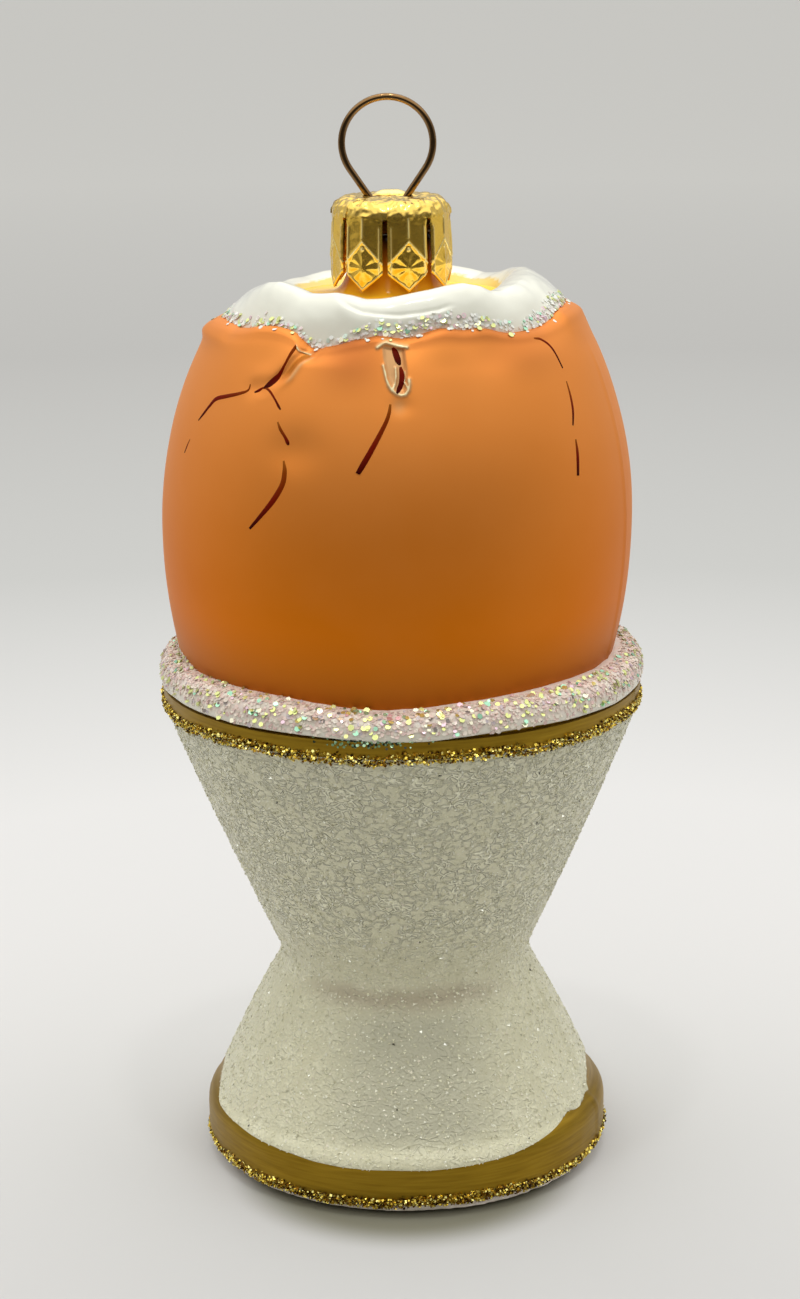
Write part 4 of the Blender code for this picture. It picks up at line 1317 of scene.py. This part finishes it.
def petal_crests(across, height, lower):
    """1 along a petal's raised lines: the diamond's sides, the rim, the centre fold and the dot."""
    away, below = np.abs(across), below_diamond(across, height)
    lines = (
        bell(below - 0.09, 0.08),
        0.6 * bell(height - lower - 0.22, 0.12) * smooth(below / 0.3),
        0.6 * bell(away - 1.82, 0.10) * smooth((104.2 - height) / 0.4),
        0.7 * bell(away, 0.11) * smooth(-below / 0.3),
        bell(np.hypot(across, height - 101.7), 0.18),
    )
    return np.max(lines, axis=0)


def petal_relief(across, height, lower):
    """How far a petal's face stands out: its folds, rim, diamond and star, at millimetres across it."""
    below = below_diamond(across, height)
    relief = 0.12 * petal_crests(
        across, height, lower,
    ) - 0.14 * smooth((np.abs(across) - 1.95) / 0.3) * smooth((104.8 - height) / 0.8)
    relief = relief - 0.05 * smooth(below / 0.2)
    x, z = across, height - 99.75
    reach, angle = np.hypot(x, z), np.degrees(np.arctan2(z, x))
    pleat = np.abs((angle / 45 + 0.5) % 1 - 0.5) * 2  # 0 on each of the eight rays, 1 between them
    inside = smooth(below / 0.35) * smooth((1.85 - reach) / 0.4)
    return relief + inside * (0.03 - 0.055 * pleat * np.minimum(reach / 0.8, 1))


class ORNAMENT_OT_cap(bpy.types.Operator):
    """Pressed crown cap: eight embossed petals, a crimped shoulder, a bridge and a slot"""

    bl_idname = "ornament.cap"
    bl_label = "Crown cap"

    def execute(self, context):
        sizes, colours = context.scene.ornament_sizes, context.scene.ornament_colours
        disc = CAP_R - CAP_TURN
        top = [(r, CAP_T) for r in np.linspace(0, disc, 20)]
        turn = np.radians(np.linspace(90, 0, 17))[1:]
        top += [(disc + CAP_TURN * math.cos(t), CAP_T - CAP_TURN * (1 - math.sin(t))) for t in turn]
        top += [(CAP_R, SLIT_TOP)]
        top_rows, side_rows, columns, extra = len(top), 64, 36, 3
        bpy.ops.object.select_all(action="DESELECT")
        bpy.ops.mesh.primitive_grid_add(
            x_subdivisions=columns + extra, y_subdivisions=top_rows + side_rows - 1, size=2, location=(
                0, 0, 0,
            )
        )
        petal = bpy.context.object
        grid = vertices_of(petal)
        column = np.rint((grid[:, 0] + 1) / 2 * (columns + extra)).astype(int)
        row = np.rint((1 - grid[:, 1]) / 2 * (top_rows + side_rows - 1)).astype(int)
        place = np.where(column <= columns, -1 + 2 * np.minimum(column, columns) / columns, 1)
        slit = 360 / PETALS - 2 * PETAL_HALF
        azimuth = place * PETAL_HALF + np.maximum(column - columns, 0) / extra * slit
        lower = PETAL_SHOULDER + (PETAL_TIP - PETAL_SHOULDER) * (1 - np.abs(place))
        share = np.clip((row - top_rows + 1) / side_rows, 0, 1)
        plain = np.array(top)[np.minimum(row, top_rows - 1)]
        height = np.where(row < top_rows, plain[:, 1], SLIT_TOP + share * (lower - SLIT_TOP))
        flare = 0.2 * smooth((SLIT_TOP - height) / 5)
        flat = math.cos(math.radians(10)) / np.cos(np.radians(np.abs(np.abs(azimuth) - 10))) - 1
        radius = np.where(row < top_rows, plain[:, 0], CAP_R + flare)
        faced = smooth((row - 22) / 14)
        across = place * math.radians(PETAL_HALF) * CAP_R
        pressed = np.where(row >= top_rows, petal_relief(across, height, lower), 0)
        radius = radius + faced * (radius * flat + pressed)
        places = placed(azimuth, radius, height)
        petal.data.vertices.foreach_set("co", (places * MM).ravel())
        open_faces = []
        for face in petal.data.polygons:
            face_columns = [column[v] for v in face.vertices]
            face_rows = [row[v] for v in face.vertices]
            open_faces.append(bool(max(face_columns) > columns and max(face_rows) > top_rows - 1))
        petal.data.polygons.foreach_set("select", open_faces)
        bpy.ops.object.mode_set(mode="EDIT")
        bpy.ops.mesh.select_mode(type="FACE")
        bpy.ops.object.mode_set(mode="OBJECT")
        petal.data.polygons.foreach_set("select", open_faces)
        bpy.ops.object.mode_set(mode="EDIT")
        bpy.ops.mesh.delete(type="FACE")
        bpy.ops.mesh.select_mode(type="VERT")
        bpy.ops.object.mode_set(mode="OBJECT")
        parts = []
        for i in range(PETALS):
            part = petal if i == 0 else bpy.data.objects.new("petal", petal.data.copy())
            if i:
                bpy.context.scene.collection.objects.link(part)
            parts.append(part)
        for i, part in enumerate(parts):
            part.data.transform(Matrix.Rotation(math.radians(PETAL_MIDDLE + i * 360 / PETALS), 4, "Z"))
        cap = joined("crown_cap", parts)
        turn_outward(merge=0.004 * MM)

        def crimped(azimuth, radius, height):
            places = placed(azimuth, radius, height)
            on_shoulder = smooth((height - 103.9) / 1.5) * smooth((radius - 3.2) / 1.0)
            on_top = smooth((height - 106.3) / 0.2)
            dents = 0.11 * rough(places, 0.5, 1) + 0.08 * rough(places, 1.1, 4)
            waves = 0.06 * rough(places, 1.4, 6) * smooth((105.4 - height) / 0.6)
            near_bridge = 1 - np.hypot(places[:, 0] / 2.35, (places[:, 1] - 1.3) / 1.2)
            bridge = 0.52 * on_top * smooth(near_bridge / 0.7)
            dents = dents * (1 - smooth(bridge / 0.2))
            return places + placed(
                azimuth, dents * on_shoulder + waves, dents * np.maximum(on_shoulder, on_top) + bridge,
            )

        reshape(cap, crimped)
        sheet = cap.modifiers.new("sheet", "SOLIDIFY")
        sheet.thickness, sheet.offset, sheet.use_even_offset = sizes.cap_sheet, -1, False
        bpy.ops.object.modifier_apply(modifier="sheet")

        bpy.ops.object.select_all(action="DESELECT")
        bpy.ops.mesh.primitive_cube_add(
            size=MM, location=((-0.9 - NECK_SHIFT) * MM, LOOP_SETBACK * MM, CAP_T * MM),
        )
        slot = bpy.context.object
        slot.data.transform(Matrix.Diagonal((5.3, 0.9, 4.0, 1)))
        only(cap)
        cut = cap.modifiers.new("cut", "BOOLEAN")
        cut.operation, cut.object, cut.solver = "DIFFERENCE", slot, "EXACT"
        bpy.ops.object.modifier_apply(modifier="cut")
        bpy.data.objects.remove(slot)
        azimuth, radius, height = cylindrical(vertices_of(cap))
        off = (azimuth - PETAL_MIDDLE + 22.5) % (360 / PETALS) - 22.5
        lower = PETAL_SHOULDER + (PETAL_TIP - PETAL_SHOULDER) * (1 - np.minimum(np.abs(off) / PETAL_HALF, 1))
        crests = petal_crests(
            np.radians(off) * CAP_R, height, lower,
        ) * (radius > CAP_R - 0.2) * (height < 104.9)
        # Painted highlight: the petals' raised lines and the top of the cap
        bright = 0.15 * smooth((height - 104.9) / 0.3) + 0.5 * smooth((height - 106.7) / 0.1)
        mark(cap, "cap_highlight", np.maximum(crests, bright))
        cap.data.transform(Matrix.Translation((NECK_SHIFT * MM, 0, 0)))
        # Brass sheet stamped and gold plated: bright and hard, with fine press marks. Its raised lines and
        # its top are painted paler and made less metallic, a painted highlight
        plate = new_material("gold_plated_pressed_brass", Metallic=1.0, Roughness=0.15)
        place = add_node(plate, "TexCoord", out="Object")
        marks = add_node(plate, "TexNoise", {"Vector": place, "Scale": per(0.45), "Detail": 3.0})
        bump = add_node(plate, "Bump", {"Strength": 0.35, "Distance": 0.05 * MM, "Height": marks})
        cap_highlight = add_node(plate, "Attribute", out="Fac", attribute_name="cap_highlight")
        metal_under_highlight = add_node(plate, "MapRange", {"Value": cap_highlight, "To Min": 0.92, "To Max": 0.45})
        shade = add_node(
            plate, "Mix", {"Factor": cap_highlight, 6: colours.cap, 7: linear("#FFF4B4")}, 2, data_type="RGBA",
        )
        to_shader(plate, Base_Color=shade, Metallic=metal_under_highlight, Normal=bump)
        finished(cap, "cap", plate, 32)
        return {"FINISHED"}


class ORNAMENT_OT_hanger(bpy.types.Operator):
    """Sprung wire loop whose legs go down through the slot"""

    bl_idname = "ornament.hanger"
    bl_label = "Wire hanger"

    def execute(self, context):
        middle = (WIRE_LOW.x + WIRE_HIGH.x) / 2 / MM
        slant = math.radians(LEG_SLANT)
        tangent = np.array([LOOP_RADIUS * math.cos(slant), LOOP_MIDDLE - LOOP_RADIUS * math.sin(slant)])
        bend = np.array([tangent[0] - (tangent[1] - LEG_BEND) * math.tan(slant), LEG_BEND])
        start = bend + np.array([math.sin(slant), math.cos(slant)]) * LEG_REACH
        leg = [(bend[0], LEG_END), *curve(bend - [0, LEG_REACH], bend, start, 8)]
        leg += [start + (tangent - start) * t for t in (0.25, 0.5, 0.75)]
        turn = np.radians(np.linspace(-LEG_SLANT, 180 + LEG_SLANT, 97))
        ring = [(LOOP_RADIUS * math.cos(t), LOOP_MIDDLE + LOOP_RADIUS * math.sin(t)) for t in turn]
        line = [*leg, *ring, *[(-x, z) for x, z in reversed(leg)]]
        data = bpy.data.curves.new("hanger_loop", "CURVE")
        data.dimensions, data.use_fill_caps = "3D", True
        data.bevel_depth, data.bevel_resolution = context.scene.ornament_sizes.wire / 2, 5
        spline = data.splines.new("POLY")
        spline.points.add(len(line) - 1)
        for point, (x, z) in zip(spline.points, line):
            point.co = ((middle + x) * MM, LOOP_SETBACK * MM, z * MM, 1)
        wire = bpy.data.objects.new("hanger_loop", data)
        bpy.context.scene.collection.objects.link(wire)
        only(wire)
        bpy.ops.object.convert(target="MESH")
        wire = bpy.context.object
        # Brass-plated spring wire with a dark antique finish
        brass = new_material(
            "antique_brass_wire", Metallic=1.0, Roughness=0.14,
            Base_Color=(*context.scene.ornament_colours.wire, 1),
        )
        finished(wire, "hanger_wire", brass, 60)
        return {"FINISHED"}


# ---------------------------------------------------------------- stage


class ORNAMENT_OT_stage(bpy.types.Operator):
    """Pale floor with painted light and shade on it, soft studio light and the camera"""

    bl_idname = "ornament.stage"
    bl_label = "Stage"

    def execute(self, context):
        scene = context.scene
        bpy.ops.object.select_all(action="DESELECT")
        bpy.ops.mesh.primitive_circle_add(vertices=96, radius=4.0, fill_type="NGON", location=(0, 0, 0))
        floor = bpy.context.object
        floor.name = "floor"
        matt = new_material("matt_white_board", Roughness=0.9, Specular_IOR_Level=0.2)
        place = add_node(matt, "TexCoord", out="Object")
        away = add_node(matt, "VectorMath", {0: place}, "Value", operation="LENGTH")
        # Painted light: the floor is lighter near the ornament and greyer further out, a painted pool of
        # light
        ramp = add_node(
            matt, "ValToRGB", {"Fac": away},
            stops=(
                (0.13, scene.ornament_colours.floor), (0.28, linear("#BDBDBA")), (0.55, linear("#B3B2AF")),
                (1.0, linear("#C0BFBB")),
            ),
        )
        # Painted shadow: a dark crescent on the floor just in front of the foot
        ahead = add_node(matt, "Mapping", {"Vector": place, "Location": (0, 9.9 * MM, 0)})
        reach = add_node(matt, "VectorMath", {0: ahead}, "Value", operation="LENGTH")
        painted_contact_shadow = add_node(
            matt, "MapRange", {"Value": reach, "From Min": 14 * MM, "From Max": 20.5 * MM},
            interpolation_type="SMOOTHSTEP",
        )
        pale = add_node(
            matt, "Mix", {"Factor": painted_contact_shadow, 6: linear("#8E8C7A"), 7: ramp}, 2, data_type="RGBA",
        )
        # Painted shade: the floor darkens towards the camera's side of the room
        depth = add_node(matt, "SeparateXYZ", {0: place}, "Y")
        shade = add_node(
            matt, "MapRange", {"Value": depth, "From Min": 0.08, "From Max": -0.45},
            interpolation_type="SMOOTHSTEP",
        )
        to_shader(
            matt,
            Base_Color=add_node(
                matt, "Mix", {"Factor": shade, 6: pale, 7: linear("#3C3B38")}, 2, data_type="RGBA",
            ),
        )
        floor.data.materials.append(matt)

        world = bpy.data.worlds.new("studio")
        world.use_nodes = True
        scene.world = world
        way = add_node(world, "TexCoord", out="Generated")
        toward = add_node(world, "SeparateXYZ", {0: way}, "Y")
        share = add_node(world, "MapRange", {"Value": toward, "From Min": 1.0, "From Max": -1.0})
        # The camera's side of the room is dark, the sides and the back are lighter, the ceiling is lightest
        walls = add_node(
            world, "ValToRGB", {"Fac": share},
            stops=(
                (0.0, (0.42, 0.42, 0.41)), (0.5, (0.55, 0.55, 0.54)), (0.75, (0.14, 0.14, 0.14)),
                (0.9, (0.05, 0.05, 0.05)),
            ),
        )
        up = add_node(
            world, "MapRange", {"Value": toward.node.outputs["Z"], "From Min": 0.25, "From Max": 0.7},
            interpolation_type="SMOOTHSTEP",
        )
        room = add_node(world, "Mix", {"Factor": up, 6: walls, 7: (1.3, 1.3, 1.29)}, 2, data_type="RGBA")
        world.node_tree.links.new(room, world.node_tree.nodes["Background"].inputs["Color"])

        for name, place, aim, size, power in (
            ("softbox", (0.0, 0.08, 0.7), (0, 0.05, 0), 0.5, 0.5),
            ("lamp_left", (-0.10, -0.25, 1.0), (0, 0, 0.09), 0.06, 0.55),
            ("lamp_right", (0.08, -0.25, 1.0), (0, 0, 0.09), 0.06, 0.55),
        ):
            light = bpy.data.lights.new(name, "AREA")
            light.shape, light.size, light.energy = "SQUARE", size, power
            lamp = bpy.data.objects.new(name, light)
            scene.collection.objects.link(lamp)
            lamp.location = place
            lamp.rotation_euler = (Vector(aim) - Vector(place)).to_track_quat("-Z", "Y").to_euler()

        camera = bpy.data.cameras.new("camera")
        camera.lens, camera.sensor_width = 83.14, 36
        camera.clip_start, camera.clip_end = 0.01, 20
        eye = bpy.data.objects.new("camera", camera)
        scene.collection.objects.link(eye)
        down, away, aim = math.radians(15.07), 0.328, Vector((-0.00016, 0, 0.0572))
        eye.location = aim + Vector((0, -away * math.cos(down), away * math.sin(down)))
        level = (aim - eye.location).to_track_quat("-Z", "Y").to_matrix()
        eye.rotation_euler = (level @ Matrix.Rotation(math.radians(-0.64), 3, "Z")).to_euler()
        scene.camera = eye
        scene.view_settings.view_transform = "Standard"
        return {"FINISHED"}


class ORNAMENT_PT_panel(bpy.types.Panel):
    """Lists the ornament's pieces and sizes"""

    bl_idname = "ORNAMENT_PT_panel"
    bl_label = "Glass egg ornament"
    bl_space_type = "VIEW_3D"
    bl_region_type = "UI"
    bl_category = "Ornament"

    def draw(self, context):
        for operator in OPERATORS:
            self.layout.operator(operator.bl_idname)
        for group in (context.scene.ornament_sizes, context.scene.ornament_colours):
            for name in group.__annotations__:
                self.layout.prop(group, name)


OPERATORS = (
    ORNAMENT_OT_shell,
    ORNAMENT_OT_cracks,
    ORNAMENT_OT_top,
    ORNAMENT_OT_cup,
    ORNAMENT_OT_glitter,
    ORNAMENT_OT_cap,
    ORNAMENT_OT_hanger,
    ORNAMENT_OT_stage,
)
CLASSES = (ORNAMENT_PG_sizes, ORNAMENT_PG_colours, *OPERATORS, ORNAMENT_PT_panel)


def register():
    for item in CLASSES:
        bpy.utils.register_class(item)
    bpy.types.Scene.ornament_sizes = PointerProperty(type=ORNAMENT_PG_sizes)
    bpy.types.Scene.ornament_colours = PointerProperty(type=ORNAMENT_PG_colours)


def unregister():
    del bpy.types.Scene.ornament_colours
    del bpy.types.Scene.ornament_sizes
    for item in reversed(CLASSES):
        bpy.utils.unregister_class(item)


def main():
    register()
    bpy.ops.ornament.shell()
    bpy.ops.ornament.cracks()
    bpy.ops.ornament.top()
    bpy.ops.ornament.cup()
    bpy.ops.ornament.glitter()
    bpy.ops.ornament.cap()
    bpy.ops.ornament.hanger()
    bpy.ops.ornament.stage()


if __name__ == "__main__":
    main()
